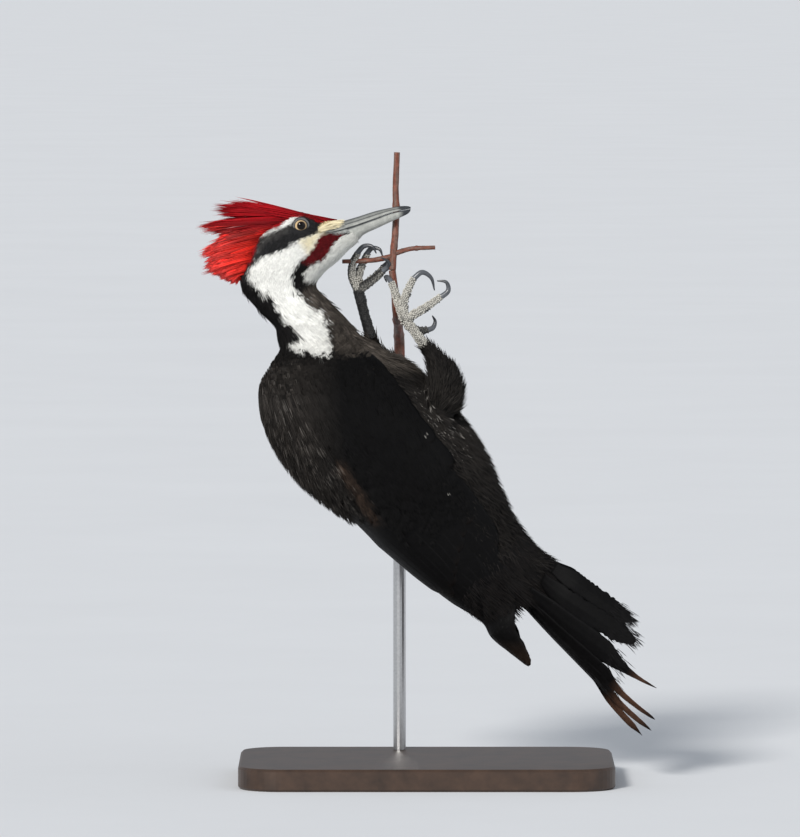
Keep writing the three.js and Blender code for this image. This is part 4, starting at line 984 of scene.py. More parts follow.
# %% Wings
TIERS = [
    # name, count, roots (first, last) as (a, f), tips, half width, height over the trunk
    ("primaries", 10, [(96, 0.93), (148, 0.12)],
     [(150, 0.985), (178, 0.955), (202, 0.82), (216, 0.64), (221, 0.46), (217, 0.3), (203, 0.12)], 9.5, 1.4),
    ("secondaries", 11, [(84, 0.9), (98, 0.06)], [(128, 0.9), (146, 0.6), (160, 0.3), (150, 0.08)], 8.8, 1.6),
    ("greater coverts", 13, [(58, 0.95), (62, 0.08)], [(90, 0.97), (98, 0.6), (102, 0.3), (98, 0.08)], 6.6, 1.8),
    ("median coverts", 13, [(40, 0.95), (42, 0.08)], [(69, 0.965), (75, 0.6), (78, 0.3), (76, 0.08)], 6.4, 1.9),
    ("lesser coverts 4", 13, [(28, 0.95), (30, 0.07)], [(51, 0.965), (56, 0.6), (58, 0.3), (57, 0.07)], 6.2, 1.9),
    ("lesser coverts 3", 13, [(17, 0.95), (19, 0.07)], [(38, 0.965), (42, 0.6), (44, 0.3), (43, 0.07)], 6.2, 1.9),
    ("lesser coverts 2", 13, [(7, 0.95), (9, 0.07)], [(26, 0.965), (29, 0.6), (31, 0.3), (30, 0.07)], 6.2, 1.9),
    ("lesser coverts 1", 13, [(-4, 0.95), (-3, 0.07)], [(15, 0.965), (17, 0.6), (18, 0.3), (17, 0.07)], 6.2, 1.8),
]


def mixed(run, u):
    at = u * (len(run) - 1)
    i = min(int(at), len(run) - 2)
    return np.array(run[i]) + (np.array(run[i + 1]) - np.array(run[i])) * (at - i)


MANTLE = np.array([0.0155, 0.0135, 0.0120])
WORN = np.array([0.046, 0.029, 0.020])
BROWN_STREAK = ((-57.6, 205.6), (-32.4, 164.7))


def wing_colour(points):
    """Jet black, greyer brown over the back, with a brown streak where the longest back feathers end."""
    x, z = points[:, 0], points[:, 2]
    edge = np.interp(z, [158, 209, 253], [-26, -54, -54])
    back = (np.clip((edge - x) / 24, 0, 1) * np.clip((z - 140) / 40, 0, 1))[:, None]
    near = np.exp(-(off_line(x, z, *BROWN_STREAK) / 2.6) ** 2)[:, None]
    colour = JET + (MANTLE - JET) * back
    return colour + (WORN - colour) * near * 0.55


def wing_vanes():
    vanes = []
    for row, (name, count, roots, tips, half, lift) in enumerate(TIERS):
        flight = name in ("primaries", "secondaries")
        shape, rings, across = (LONG_VANE, 30, 9) if flight else (ROUND_VANE, 14, 7)
        worn_end, worn_low, pale_rim = (0.1, 0.7, 0.004) if flight else (0.06, 0, 0)
        for i in range(count):
            u = i / (count - 1)
            root = mixed(roots, u) + [rng.uniform(-1, 1), 0]
            tip = mixed(tips, u) + [rng.uniform(-1.4, 1.4), rng.uniform(-0.006, 0.006)]
            points, faces, web, bake = vane(
                on_wing, root, tip, half * rng.uniform(0.95, 1.05), lift + 0.05 * i / count, lift - 1.2, shape,
                rings, across, notch=0.05, place=(0.05 + 0.9 * u, 0.1 + 0.09 * row))
            base = wing_colour(points) * rng.uniform(0.88, 1.15)
            end = np.clip((web[:, :1] - 0.9) / 0.1, 0, 1) ** 1.5 * worn_end
            low = np.clip((90 - points[:, 2:]) / 20, 0, 1) * worn_low
            rim = np.clip((np.abs(web[:, 1:]) - 0.8) / 0.15, 0, 1) * pale_rim
            vanes.append((points, faces, web, bake, base + (WORN - base) * np.clip(end + low, 0, 1) + rim))
    return vanes


def make_wings():
    for side in ("right", "left"):
        wing = gather("wing_feathers_" + side, wing_vanes(), mirror=side == "left")
        wear(wing, FLIGHT, "flight_feathers", "wing_" + side)


make_wings()

# %% [markdown]
# The small feathers of the back and shoulder are so soft that they close over the tiers in one smooth cape. Fine
# tufts lie over them, long and streaked on the back with pale streaks of painted sheen, short and black on the
# shoulder. A collar of tufts rises from the neck's base over the wing's front edge, so that nothing shows where the
# wing begins.

# %% Soft coverts
WHITE_FLECKS = [(-0.6, 221.7), (13.3, 183.8)]


def wing_top(a, f, h):
    return on_wing(a, f, h + np.interp(a, [0, 20, 40, 60, 80, 100, 160], [3.2, 4.6, 3.2, 2.2, 1.7, 1.7, 2.0]))


def wing_coat(side, name, along, across, spacing, long, streaks):
    """A coat over one wing, from side -1 or 1, that thins out where it ends. Streaks is how much its tufts vary
    and how many carry painted sheen.
    """
    roots = sow_on(wing_top, along, across, spacing)
    fade = np.clip((along[1] - roots["p"]) / 40, 0, 1) ** 0.7
    keep = rng.random(len(fade)) < fade
    roots = {key: value[keep] for key, value in roots.items()}
    for key in ("root", "up", "lie"):
        roots[key] = roots[key] * np.array([1, -side, 1])
    roots["place"] = np.stack([0.5 + side * (0.02 + 0.4 * roots["q"]), roots["p"] / WING["length"] * 0.8], 1)
    many = fans(roots, 6, spread=0.9, fan=0.15)
    colour = varied(np.repeat(wing_colour(roots["root"]), 6, axis=0), many["tuft"], streaks)
    length = long * rng.uniform(0.7, 1.2, len(colour)) * np.interp(along[1] - many["p"], [0, 40], [0.4, 1])
    tips = colour * 1.15
    for x, z in WHITE_FLECKS:
        near = np.hypot(many["root"][:, 0] - x, many["root"][:, 2] - z) < 1.6
        near &= rng.random(len(near)) < 0.35
        tips[near] = (0.5, 0.48, 0.44)
        length[near] *= 0.4
    # painted sheen: some back tufts get pale grey streaks, stronger higher on the back
    pale = np.repeat(rng.random(len(roots["p"])) < (streaks - 0.16) * 0.6, 6) & (rng.random(len(colour)) < 0.4)
    light = (np.clip(many["root"][:, 2] / 40 - 4, 0, 1) * rng.uniform(0.3, 1, len(pale)))[pale][:, None]
    colour[pale] += np.array([0.04, 0.037, 0.034]) * light
    tips[pale] += np.array([0.12, 0.112, 0.102]) * light
    lift = rng.uniform(0.05, 0.10, len(colour)) * np.interp(along[1] - many["p"], [0, 35], [0.15, 1])
    barbs(name, "flight_feathers", many, length, half=0.36, lift=lift, curl=-0.065, colour=colour, tips=tips,
          sunk=0.25)


def collar_form(p, q, h):
    """Neck base with p rising towards the tail, and its height to the wing's front edge."""
    return body_point(9.0 - p, q, h + np.interp(p, [0, 0.5, 1.45], [-1.0, 0.8, 3.6]))


def make_collar():
    roots = sow_on(collar_form, (0.0, 1.5), (-2.25, 2.25), 1.6)
    roots["place"] = skin_place(roots["q"], 9 - roots["p"])
    many = fans(roots, 5, spread=0.8, fan=0.2)
    colour = varied(np.repeat(worn_colour(roots, np.full(len(roots["p"]), 5), 1.0), 5, axis=0), many["tuft"], 0.35)
    back = np.clip((275 - many["root"][:, 2:]) / 20, 0, 1) * (colour.max(axis=1, keepdims=True) < 0.05)
    colour = colour + (MANTLE - colour) * back
    length = 12 * rng.uniform(0.7, 1.2, len(colour))
    barbs("collar_tufts", "body_feathers", many, length, half=0.25, lift=rng.uniform(0.06, 0.14, len(colour)),
          curl=-0.07, colour=colour * 0.76, tips=colour * 0.92, sunk=0.1)


for side, name in ((-1, "right"), (1, "left")):
    wing_coat(side, "mantle_tufts_" + name, (0.5, 98), (0.0, 0.5), spacing=2.0, long=12, streaks=0.5)
    wing_coat(side, "shoulder_tufts_" + name, (0.5, 126), (0.42, 0.985), spacing=2.15, long=9, streaks=0.16)
make_collar()

# %% [markdown]
# The tail is an arch, open to the belly, of stiff pointed feathers that prop the bird up. Their ends are worn to
# bare brown shafts. Short coverts close its root above and below.

# %% Tail
TAIL = {"root": (57.6, 114.3), "axis": (0.696, -0.718), "arch": 28}
TAIL_FEATHERS = [
    # root and tip round the arch, length, half width, turn of the vane across its width
    (3, 4, 116, 8, -1.9), (8, 15.9, 117, 8.5, -0.7), (13, 25.5, 113, 8.5, 0.3), (22, 41, 99, 9.5, 0.5),
    (34, 51, 69, 8.5, 0.2), (48, 59, 58, 7.5, 0.2),
]
FINGERS = 4  # so many on each side end in a long thin finger, and the last of these is the thinnest
tail_axis = unit(np.array([TAIL["axis"][0], 0, TAIL["axis"][1]]))
tail_drop = -np.cross([0, 1, 0], tail_axis)


def on_tail(a, q, h):
    """Point of the tail: a along it, q round the arch from its top line, h above it."""
    turn = (np.asarray(q) / TAIL["arch"])[..., None]
    far = (TAIL["arch"] + np.asarray(h))[..., None]
    start = np.array([TAIL["root"][0], 0, TAIL["root"][1]])
    return (start + tail_axis * np.asarray(a)[..., None] + tail_drop * (TAIL["arch"] - far * np.cos(turn))
            - np.array([0, 1, 0]) * far * np.sin(turn))


FINGER_VANE = [(0, 0.7), (0.15, 0.95), (0.5, 1), (0.63, 0.95), (0.7, 0.6), (0.77, 0.42), (0.86, 0.34), (0.94, 0.27),
               (0.985, 0.15), (1, 0.03)]
THIN_VANE = [(0, 0.7), (0.15, 0.95), (0.52, 1), (0.62, 0.85), (0.7, 0.6), (0.78, 0.34), (0.86, 0.2), (0.94, 0.12),
             (1, 0.02)]
FRAYED_VANE = [(0, 0.7), (0.2, 1), (0.7, 1), (0.85, 0.85), (0.95, 0.5), (1, 0.2)]


def bent_tail(side, k):
    """The tail's surface for one feather, whose worn end bends away from the body and back."""
    length = TAIL_FEATHERS[k][2]

    def surface(a, q, h):
        s = np.clip((a / length - 0.6) / 0.4, 0, 1.05)
        bend = 1.7 * np.sin(np.pi * s) + (2.4 * s**2 if k == 0 else 0)
        return (on_tail(a, q, h) - tail_drop * (bend * (k < FINGERS))[..., None]) * np.array([1, side, 1])

    return surface


def tail_vanes():
    vanes = []
    s = np.linspace(0, 1, 44)[:, None]
    for side in (1, -1):
        for k, (root, tip, length, half, turned) in enumerate(TAIL_FEATHERS):
            finger, thin = k < FINGERS, k == FINGERS - 1
            tilt = 0.14 + turned * np.clip((s - 0.58) / 0.16, 0, 1) * np.clip((1 - s) / 0.08, 0, 1)
            hidden = 2.0 * (side < 0)  # the far half lies behind the near one
            points, faces, web, bake = vane(
                bent_tail(side, k), (0, root - hidden), (length - hidden, tip - hidden * (1 + k / 4)), half * 0.86,
                lift=1.3 - 0.12 * k, sunk=0.2 if finger else -7,
                shape=THIN_VANE if thin else FINGER_VANE if finger else FRAYED_VANE, rings=len(s), across=11,
                notch=0.06 if finger else 0.25, place=(0.5 + side * (0.03 + 0.02 * k), 0.01 + 0.004 * k),
                tilt=tilt, crown=0.35)
            end = web[:, :1]
            brown = np.clip((end - (0.8 if thin else 0.68)) / 0.1, 0, 1)
            brown = brown * (1 - 0.85 * np.clip((end - 0.9) / 0.07, 0, 1)) * finger
            tint = JET * 1.2 + (np.array([0.085, 0.044, 0.028]) - JET) * brown
            vanes.append((points, faces[:, ::-1] if side < 0 else faces, web, bake, tint))
    return vanes


def tail_wisps():
    """Loose hair-like barbs at the worn ends of the outer feathers and between the long ones."""
    rows = []
    for side in (1, -1):
        for k, (root, tip, length, half, _) in enumerate(TAIL_FEATHERS):
            count, first, last, long = (16, 0.6, 0.74, 8.0) if k < FINGERS else (60, 0.72, 0.99, 7.0)
            s = rng.uniform(first, last, count)
            q = root + (tip - root) * s + rng.uniform(-0.8, 0.8, count) * half * np.where(s > 0.85, 0.55, 0.75)
            surface, high = bent_tail(side, k), np.full(count, 1.0)
            here, ahead = surface(length * s, q, high), surface(length * s + 1, q + 0.06, high)
            up = unit(surface(length * s, q, high + 1) - here)
            place = np.stack([np.full(count, 0.5 + side * (0.03 + 0.02 * k)), s * 0.02], 1)
            rows.append((here, unit(ahead - here), up, place, np.full(count, long)))
    roots = {key: np.concatenate(part) for key, part in zip(("root", "lie", "up", "place", "long"), zip(*rows))}
    many = fans(roots, 2, spread=0.3, fan=0.12)
    colour = np.tile(JET * 1.5, (len(many["root"]), 1))
    length = many["long"] * rng.uniform(0.5, 1.2, len(colour))
    barbs("tail_wisps", "flight_feathers", many, length, half=0.22, lift=rng.uniform(-0.06, 0.1, len(colour)),
          curl=0.05, colour=colour, tips=colour * 2.5, rings=5)


wear(gather("tail_feathers", tail_vanes()), FLIGHT, "flight_feathers", "tail")
tail_wisps()

# %% [markdown]
# The crest rises from the crown and the nape in long silky feathers of one red, painted dark crimson above as
# shade and bright orange-red behind as sunlight, with painted pale highlights at the lit tips, and loose ragged
# ends. Each feather is a fan of long barbs that bends back.

# %% Crest
CREST = {
    "front": 15.7, "rear": 10.9, "locks": 1700, "barbs": 5, "widest": 1.15,
    "tips": [
        (0, -97, 360), (0.1, -112, 362.4), (0.2, -124, 364.2), (0.26, -131.5, 365), (0.31, -139, 361.4),
        (0.35, -135.5, 356.8), (0.4, -130, 352), (0.46, -146, 349.8), (0.5, -144.6, 345.8), (0.57, -133, 342.8),
        (0.65, -140, 336.5), (0.72, -146, 330.5), (0.76, -141, 328), (0.84, -142, 321.4), (0.9, -133, 318),
        (1, -119.8, 311),
    ],
}
# painted light: the crest is one red, darker where painted as in shade and brighter where painted as sunlit
SHADED_CREST_RED = np.array([0.41, 0.0022, 0.0078])
SUNLIT_CREST_RED = np.array([0.92, 0.026, 0.014])


def crest_locks():
    """Root, tip and up of each lock that starts inside the crown's outline, and its tip's place along the rim."""
    count = CREST["locks"]
    w = rng.random(count) ** 0.85
    turn = rng.normal(0, 0.5, count).clip(-CREST["widest"], CREST["widest"])
    station = CREST["front"] + (CREST["rear"] - CREST["front"]) * w
    root, above = body_point(station, turn, -1.3), body_point(station, turn, 1.0)
    keep = depth_inside(above[:, 0], above[:, 2], CROWN) > 0.8
    root, above, w, turn, station = (v[keep] for v in (root, above, w, turn, station))
    low = np.abs(turn) / CREST["widest"]
    u = np.interp(w, [0, 0.25, 0.5, 0.7, 0.85, 1], [0, 0.22, 0.46, 0.74, 0.89, 1]) + 0.06 * low
    u = np.clip(u + rng.normal(0, 0.02, len(w)), 0, 1)
    u = u + (np.round(u * 34 + low) / 34 - u) * 0.75
    rows = np.array(CREST["tips"])
    tip = np.stack([reading(rows[:, [0, 1]], u), turn * 4.5, reading(rows[:, [0, 2]], u)], 1)
    share = (0.55 + 0.45 * rng.random(len(w)) ** 0.45) * (1 - 0.06 * low)
    tip = root + (tip - root) * share[:, None]
    stray = (rng.random(len(w)) < 0.07) & (u > 0.2)
    tip = tip + rng.normal(0, 1, (len(w), 3)) * np.where(stray, 1.6, 0.45)[:, None]
    return {"root": root, "tip": tip, "up": unit(above - root), "u": u, "place": skin_place(turn, station),
            "tuft": np.arange(len(w))}


def make_crest():
    locks = crest_locks()
    barb = CREST["barbs"]
    many = {key: np.repeat(value, barb, axis=0) for key, value in locks.items()}
    total = len(many["root"])
    step = np.tile(np.linspace(-1, 1, barb), total // barb) + rng.normal(0, 0.15, total)
    far = many["tip"] - many["root"]
    length = np.linalg.norm(far, axis=1)
    plane = unit(np.cross(unit(far), [0, 1, 0]))
    roots = many["root"] + plane * (step * 0.9)[:, None]
    tips = many["root"] + far * rng.uniform(0.84, 1.0, (total, 1))
    tips = tips + plane * (step * (0.25 + 0.012 * length))[:, None] + rng.normal(0, 0.22, (total, 3))
    bow = many["up"] * ((0.015 + 0.075 * many["u"] ** 2) * length)[:, None]
    shade = np.exp(rng.normal(0, 0.28, many["tuft"].max() + 1))[many["tuft"]][:, None]
    wander = rng.normal(0, 2.5, len(shade))

    def ring_at(s):
        centre = roots + (tips - roots) * s + bow * (4 * s * (1 - s))
        way = unit((tips - roots) + bow * (4 - 8 * s))
        side = unit(np.cross(way, [0, 1, 0]))
        width = 0.38 * (1 - s) ** 0.45 * (0.7 + 0.7 * s)
        ring = [centre] if s == 1 else [
            centre - side * width, centre + side * width, centre + np.cross(side, way) * width * 0.8]
        # painted light: strands low at the rear take the sunlit red, the ones above take the shaded red
        rear = np.clip((351 - centre[:, 2] + wander) / 11, 0, 1)[:, None]
        tone = (SHADED_CREST_RED + (SUNLIT_CREST_RED - SHADED_CREST_RED) * rear) * shade * (0.6 + 0.45 * s)
        # a round patch of the brighter locks is made paler pink
        pale_patch = np.exp(-((np.hypot(centre[:, :1] + 121, centre[:, 2:] - 348.4) / 3) ** 2)) * (shade > 1.05)
        # painted highlight: pale pink grows towards the tips of the sunlit strands; the round patch gets the same
        # pink
        return ring, tone + (0.17 * s**3 * rear + 0.5 * pale_patch) * np.array([0.7, 0.5, 0.5])

    crest = outward(spikes("crest_feathers", many, (0, 0.22, 0.5, 0.78, 1.0), ring_at, smooth=True))
    silk = finish_of("crest feathers", roughness=0.6, grain=(500, 0.2), Specular_IOR_Level=0.2)
    wear(crest, silk, "crest_feathers", "crest")


make_crest()

# %% [markdown]
# The bill is a long chisel of grey horn. Its sections run from the sharp ridge along the top to the mouth line,
# and from there to the flat keel below. A shallow groove runs forward from the nostril.

# %% Bill
BILL = [
    ((-51.9, 353), (-48.7, 348.9), (-43.5, 341), 6.4), ((-42.9, 355.7), (-41.4, 351.3), (-39.3, 344.7), 5.7),
    ((-32.9, 358.9), (-32, 354.6), (-30.9, 348.7), 4.7), ((-23.3, 361.1), (-22.8, 358), (-22.2, 352.8), 3.7),
    ((-16.8, 362.2), (-16.6, 359.4), (-16.3, 355.5), 2.8), ((-11.9, 362.3), (-11.8, 360.4), (-11.7, 357.8), 1.9),
    ((-10, 361.8), (-10, 360.8), (-10.2, 359.4), 1.2),
]
GAPE = [  # the bill's sides run back to the corner of the mouth
    ((-64.2, 347.2), (-63.6, 346.1), (-56.5, 344.4), 15.3), ((-58.5, 350.6), (-56.6, 346.8), (-50.2, 343), 11.4),
]
# each half's section: share of the half width and share of the way down
UPPER = [(0, 0), (0.15, 0.02), (0.34, 0.12), (0.5, 0.27), (0.6, 0.4), (0.66, 0.5), (0.8, 0.58), (0.9, 0.72),
         (0.98, 0.88), (1, 1)]
LOWER = [(0.97, 0), (0.97, 0.1), (0.93, 0.3), (0.84, 0.52), (0.66, 0.74), (0.44, 0.9), (0.2, 0.99)]


# how dark the horn is at each share of the way down; the lighter band along the top of the upper half is a
#  painted highlight
UPPER_BAND = [(0, 0.95), (0.08, 0.85), (0.2, 0.62), (0.36, 0.55), (0.44, 0.85), (0.5, 0.88), (0.6, 0.36),
              (0.85, 0.3), (0.93, 0.85), (1, 1)]
LOWER_BAND = [(0, 1), (0.06, 0.8), (0.14, 0.06), (0.7, 0.05), (1, 0.25)]
PALE_HORN, DARK_HORN = np.array([0.50, 0.51, 0.47]), np.array([0.035, 0.040, 0.045])


def mandible(name, top, section, band, lift):
    """One half of the bill, from edge number top of its rows to the next edge."""
    rows = GAPE + BILL
    t = np.linspace(0, len(rows) - 1, 80)
    upper, lower = (curve_through([(s[k][0], 0, s[k][1]) for s in rows])(t) for k in (top, top + 1))
    half = reading([(i, s[3] * (0.8 if top and i < 2 else 1)) for i, s in enumerate(rows)], t)
    fine = np.linspace(0, len(section) - 1, 4 * len(section))
    w, h = (np.interp(fine, np.arange(len(section)), column) for column in np.array(section).T)
    side = upper[:, None] + (lower - upper)[:, None] * h[None, :, None]
    side = side + np.array([0, 1, 0]) * (w[None] * half[:, None])[..., None]
    side[..., 2] += lift
    other = (side * [1, -1, 1])[:, ::-1]
    rings = np.concatenate([side, other[:, :-1] if w[0] == 0 else other], axis=1)
    around = rings.shape[1]
    points, *faces = capped(rings)
    along = np.append(np.repeat(np.clip((t - 2) / (len(BILL) - 1), 0, 1), around), [0, 1])[:, None]
    down = np.append(np.tile(np.append(h, h[::-1][: around - len(h)]), len(t)), [0.5, 0.5])[:, None]
    worn_tip = np.clip((along - 0.62) / 0.12, 0, 1)
    dark = np.clip(np.interp(down, *np.array(band).T) + worn_tip * 0.96, 0, 1)
    return outward(mesh_from(name, points, faces, PALE_HORN + (DARK_HORN - PALE_HORN) * dark))


HORN = finish_of("bill horn", roughness=0.36, grain=(320, 0.45), bump=(0.25, 0.00015), Specular_IOR_Level=0.45)
wear(mandible("bill_top", 0, UPPER, UPPER_BAND, 0.15), HORN, "bill_horn", "bill_upper")
wear(mandible("bill_bottom", 1, LOWER, LOWER_BAND, -0.15), HORN, "bill_horn", "bill_lower")

# %% [markdown]
# The eye is a glossy ball whose pale yellow iris rings a black pupil. Bare dark lids close round it in a wrinkled
# ring. Both eyes are turned on an axis straight out to the side.

# %% Eyes
eye_low, eye_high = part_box("eye_right")
EYE_CENTRE = (np.array(eye_low) + np.array(eye_high)) / 2 / MM


def make_eye(side, name):
    angle = np.linspace(0.004, math.pi - 0.004, 60)[:, None]
    turn = np.linspace(0, 2 * np.pi, 48, endpoint=False)
    ring = [np.sin(angle) * np.cos(turn), np.cos(angle) * np.ones(48), np.sin(angle) * np.sin(turn)]
    points, *faces = capped(np.stack(ring, -1) * EYE["radius"])
    angle = np.append(np.repeat(angle, 48), [0, math.pi])
    far, front = np.sin(angle) * EYE["radius"], np.cos(angle) > 0
    off = np.hypot(points[:, 0] - 0.35, points[:, 2])[:, None]
    # painted shade: the iris is darker towards its front and its top
    iris = np.array([0.50, 0.36, 0.20]) * (1 - 0.07 * points[:, :1] - 0.03 * points[:, 2:])
    streak = rng.uniform(0.85, 1.1, len(far))[:, None]
    pupil = np.clip((2.85 - off) / 0.3, 0, 1)
    tint = iris * streak * np.clip(1.2 - 0.22 * (off - 2.6), 0.45, 1.2)
    tint = tint + (np.array([0.012, 0.004, 0.002]) * np.clip(off - 1.5, 0.1, 1) - tint) * pupil
    rim = ((far > 3.75) | ~front)[:, None]
    tint = np.where(rim, np.array([0.012, 0.01, 0.01]), tint)
    bulge = np.exp(-((far / 2.6) ** 2)) * 0.35 * front
    points = points * (1 + bulge / EYE["radius"])[:, None]
    centre = EYE_CENTRE * [1, -side, 1]
    eye = outward(mesh_from("eyeball_" + name, points * [1, side, 1] + centre, faces, tint))
    shine = finish_of(eye.name, roughness=0.12, grain=(1500, 0.2), Coat_Weight=0.15, Coat_Roughness=0.03,
                      Specular_IOR_Level=0.2)
    wear(eye, shine, "eye", "eye_" + name)


LIDS = {"middle": 4.42, "half": 0.80, "high": 0.5, "seat": 3.55}


def make_lids(side, name):
    """A flat ring of bare skin round the eye, black at its inner edge and finely scaled outside it."""
    around, across = 132, 16
    turn = np.linspace(0, 2 * np.pi, around, endpoint=False)[:, None]
    section = np.linspace(0, 2 * np.pi, across, endpoint=False)[None]
    scale = 1 + 0.16 * np.sin(turn * 33) * np.sin(section * 3) + 0.06 * np.sin(turn * 57 + 1)
    radius = LIDS["middle"] + LIDS["half"] * np.cos(section) + 0.1 * np.cos(2 * turn)
    height = LIDS["high"] * np.sin(section) * scale - (radius - LIDS["middle"]) * 0.55 + LIDS["seat"]
    points = [radius * np.cos(turn) + EYE["x"], side * (height - EYE_CENTRE[1]), radius * np.sin(turn) + EYE["z"]]
    faces = grid_faces(around + 1, across) % (around * across)
    grey = np.array([0.12, 0.12, 0.12]) * rng.uniform(0.3, 1.6, (around, across, 1))
    inner = np.clip((radius - LIDS["middle"] + 0.3) / 0.25, 0, 1)[..., None]
    lids = outward(mesh_from("lids_" + name, np.stack(points, -1), [faces], grey * inner + 0.004))
    wear(lids, finish_of(lids.name, roughness=0.6, grain=(1800, 0.5), bump=(0.5, 0.0002)), "face_feathers")


for side, name in ((1, "left"), (-1, "right")):
    make_eye(side, name)
    make_lids(side, name)
print("eyes at", EYE_CENTRE)

# %% [markdown]
# Stiff cream bristles grow forward over the nostrils and lie along the base of the bill.


# %% Nasal bristles
BRISTLES = [(-69.2, 346), (-69.8, 348), (-67.4, 350.8), (-62.3, 352.8), (-57, 353.6), (-57, 352), (-61, 349.2),
            (-65, 346.4)]
CHIN = [(-58, 341.5), (-50, 344.5), (-44.5, 344), (-40, 342), (-46, 334), (-54, 334)]


def make_bristles(name, outline, colour, ends, longest):
    """Bristles that grow forward from an outline on the head, to end near a distance along the bill."""
    points = hide["points"]
    where = (depth_inside(points[:, 0], points[:, 2], outline) > -0.2) & (hide["station"] > 13)
    roots = sow(where, 0.6)
    forward = np.array([0.90, 0, 0.43])
    roots["lie"] = unit(forward - roots["up"] * (roots["up"] @ forward)[:, None])
    many = fans(roots, 3, spread=0.3, fan=0.07)
    pale = np.array(colour) * rng.uniform(0.8, 1.1, (len(many["root"]), 1))
    length = np.clip((ends - many["root"][:, 0]) * 0.95, 2, longest) * rng.uniform(0.4, 0.95, len(pale))
    barbs(name, "face_feathers", many, length, half=0.2, lift=rng.uniform(0.08, 0.2, len(pale)), curl=-0.04,
          colour=pale * 0.85, tips=pale, sunk=0.1)


make_bristles("nasal_bristles", BRISTLES, (0.92, 0.82, 0.56), ends=-50, longest=12)
make_bristles("chin_bristles", CHIN, (0.80, 0.80, 0.75), ends=-39, longest=6)

# %% [markdown]
# The feet have two toes forward and two back, with rough pale pads below, dark scutes above and strongly hooked
# claws. The pads' paleness is partly their own and partly painted light, and each piece is painted paler where
# lit and darker where in shade. Each toe is one swept form whose radius swells at every pad, and the claws are
# tapered hooks.

# %% Feet
VINE = {  # each piece's middle line, its radius at both ends and its count of rings
    "perch_stem": ([(-17, 60, 262.3), (-17, 59, 272), (-17.5, 50, 280), (-18, 30, 287), (-19, 8, 296),
                    (-20, 1.5, 309), (-21.5, 0.5, 322)], (3.4, 2.1), 90),
    "perch_upper": ([(-21.5, 0.5, 322.2), (-20.8, 1.8, 334), (-19.6, 6, 346), (-19.2, 9.5, 358),
                     (-19.4, 10.5, 374), (-18.6, 9.5, 396)], (2.2, 1.8), 90),
    "perch_twig_left": ([(-22, 1.2, 330.6), (-31, 5, 328.6), (-41, 8, 327.6), (-53, 9.6, 327.2)], (1.7, 1.3), 50),
    "perch_twig_right": ([(-20, 2, 332.6), (-10.4, 1.5, 335.4), (5.4, 0.5, 336.4)], (1.6, 1.2), 50),
}
# the part of the vine that the toes hold
STEM_LINE = curve_through(VINE["perch_stem"][0] + VINE["perch_upper"][0][1:3])(np.linspace(0, 8, 200))
# Light is how brightly the shank and each toe are painted as lit: pads and scutes are painted paler where it is
# high and darker, as shade, where it is low. Pads face the given way, or towards the vine where none is given; on
# the right foot the given way is the key light's, so the pale side there is painted light. A toe has three points
# after the heel, the shank's last point, and its claw three more.
FEET = {
    "right": {
        "light": (0.8, 1.0, 1.0, 1.0, 0.12),
        "pads": (-0.45, -0.75, 0.5),
        "shank": [(-0.8, -13.4, 274.9, 3), (-6.5, -12.4, 282.6, 2.7), (-13.3, -11.4, 291.2, 3.1)],
        "toes": [
            [(-16.9, -8.6, 299.5), (-19.4, -6.2, 307.7), (-21.9, -3.6, 314),
             (-24.4, -0.6, 317.6), (-26, 3.4, 317.4), (-25.2, 6.4, 314.4)],
            [(-14.2, -12.6, 301.4), (-11.7, -13.4, 309.6), (-7.9, -12.8, 317.4),
             (-2.8, -12.4, 321.2), (2.8, -12, 317.8), (5, -11.6, 309.8)],
            [(-5.4, -13.6, 295.9), (2.2, -14.8, 300.8), (9.1, -14.4, 305.8),
             (13.6, -14, 309.8), (12.4, -13.6, 315), (6.6, -13.2, 315.9)],
            [(-9.6, -9, 286.2), (-4.1, -6.2, 283.9), (0.3, -4.4, 284.6),
             (4, -3.2, 286), (5.4, -2.6, 290), (3.6, -2.2, 293.6)],
        ],
    },
    "left": {
        "light": (0.03, 0.9, 0.7, 0.35, 0.55),
        "pads": None,
        "shank": [(-35.2, 14.2, 278.9, 3.4), (-39.4, 13.2, 293.4, 3), (-43.2, 12.4, 309, 3.3)],
        "toes": [
            [(-47.2, 12, 317.8), (-46.8, 9.8, 326), (-43.6, 7.4, 332.6),
             (-39.4, 4.6, 337), (-34.2, 2.4, 337), (-31.6, 1, 332.6)],
            [(-43.2, 14.4, 318.4), (-40.4, 13.4, 326), (-37.6, 11, 332),
             (-34.4, 8.2, 335.6), (-29.6, 5.8, 335), (-27.6, 4.4, 330.6)],
            [(-38, 9.6, 313), (-32.2, 5.8, 317.4), (-27.4, 3, 321.6),
             (-23.8, 0.6, 324.6), (-24.6, -3, 328), (-28.4, -4, 330)],
            [(-37.4, 14.4, 313.6), (-31, 14, 318.6), (-26.8, 12, 324),
             (-23.4, 10.6, 327.4), (-21.4, 9.4, 330.2), (-22.4, 8.4, 332.8)],
        ],
    },
}
TOE_RADII, CLAW_RADII = [2.8, 2.35, 2.1, 1.8], [1.8, 1.6, 1.1, 0.35]
DARK_SCUTE, PALE_PAD = np.array([0.030, 0.031, 0.034]), np.array([0.62, 0.60, 0.54])
CLAW_ROOT, CLAW_TIP = np.array([0.13, 0.14, 0.155]), np.array([0.022, 0.024, 0.030])
# between is how dark the skin under the nubs is painted, as shade between them
NUB = {"gap": 1.0, "size": 0.58, "density": 4.0e6, "seed": 3, "between": 0.32}


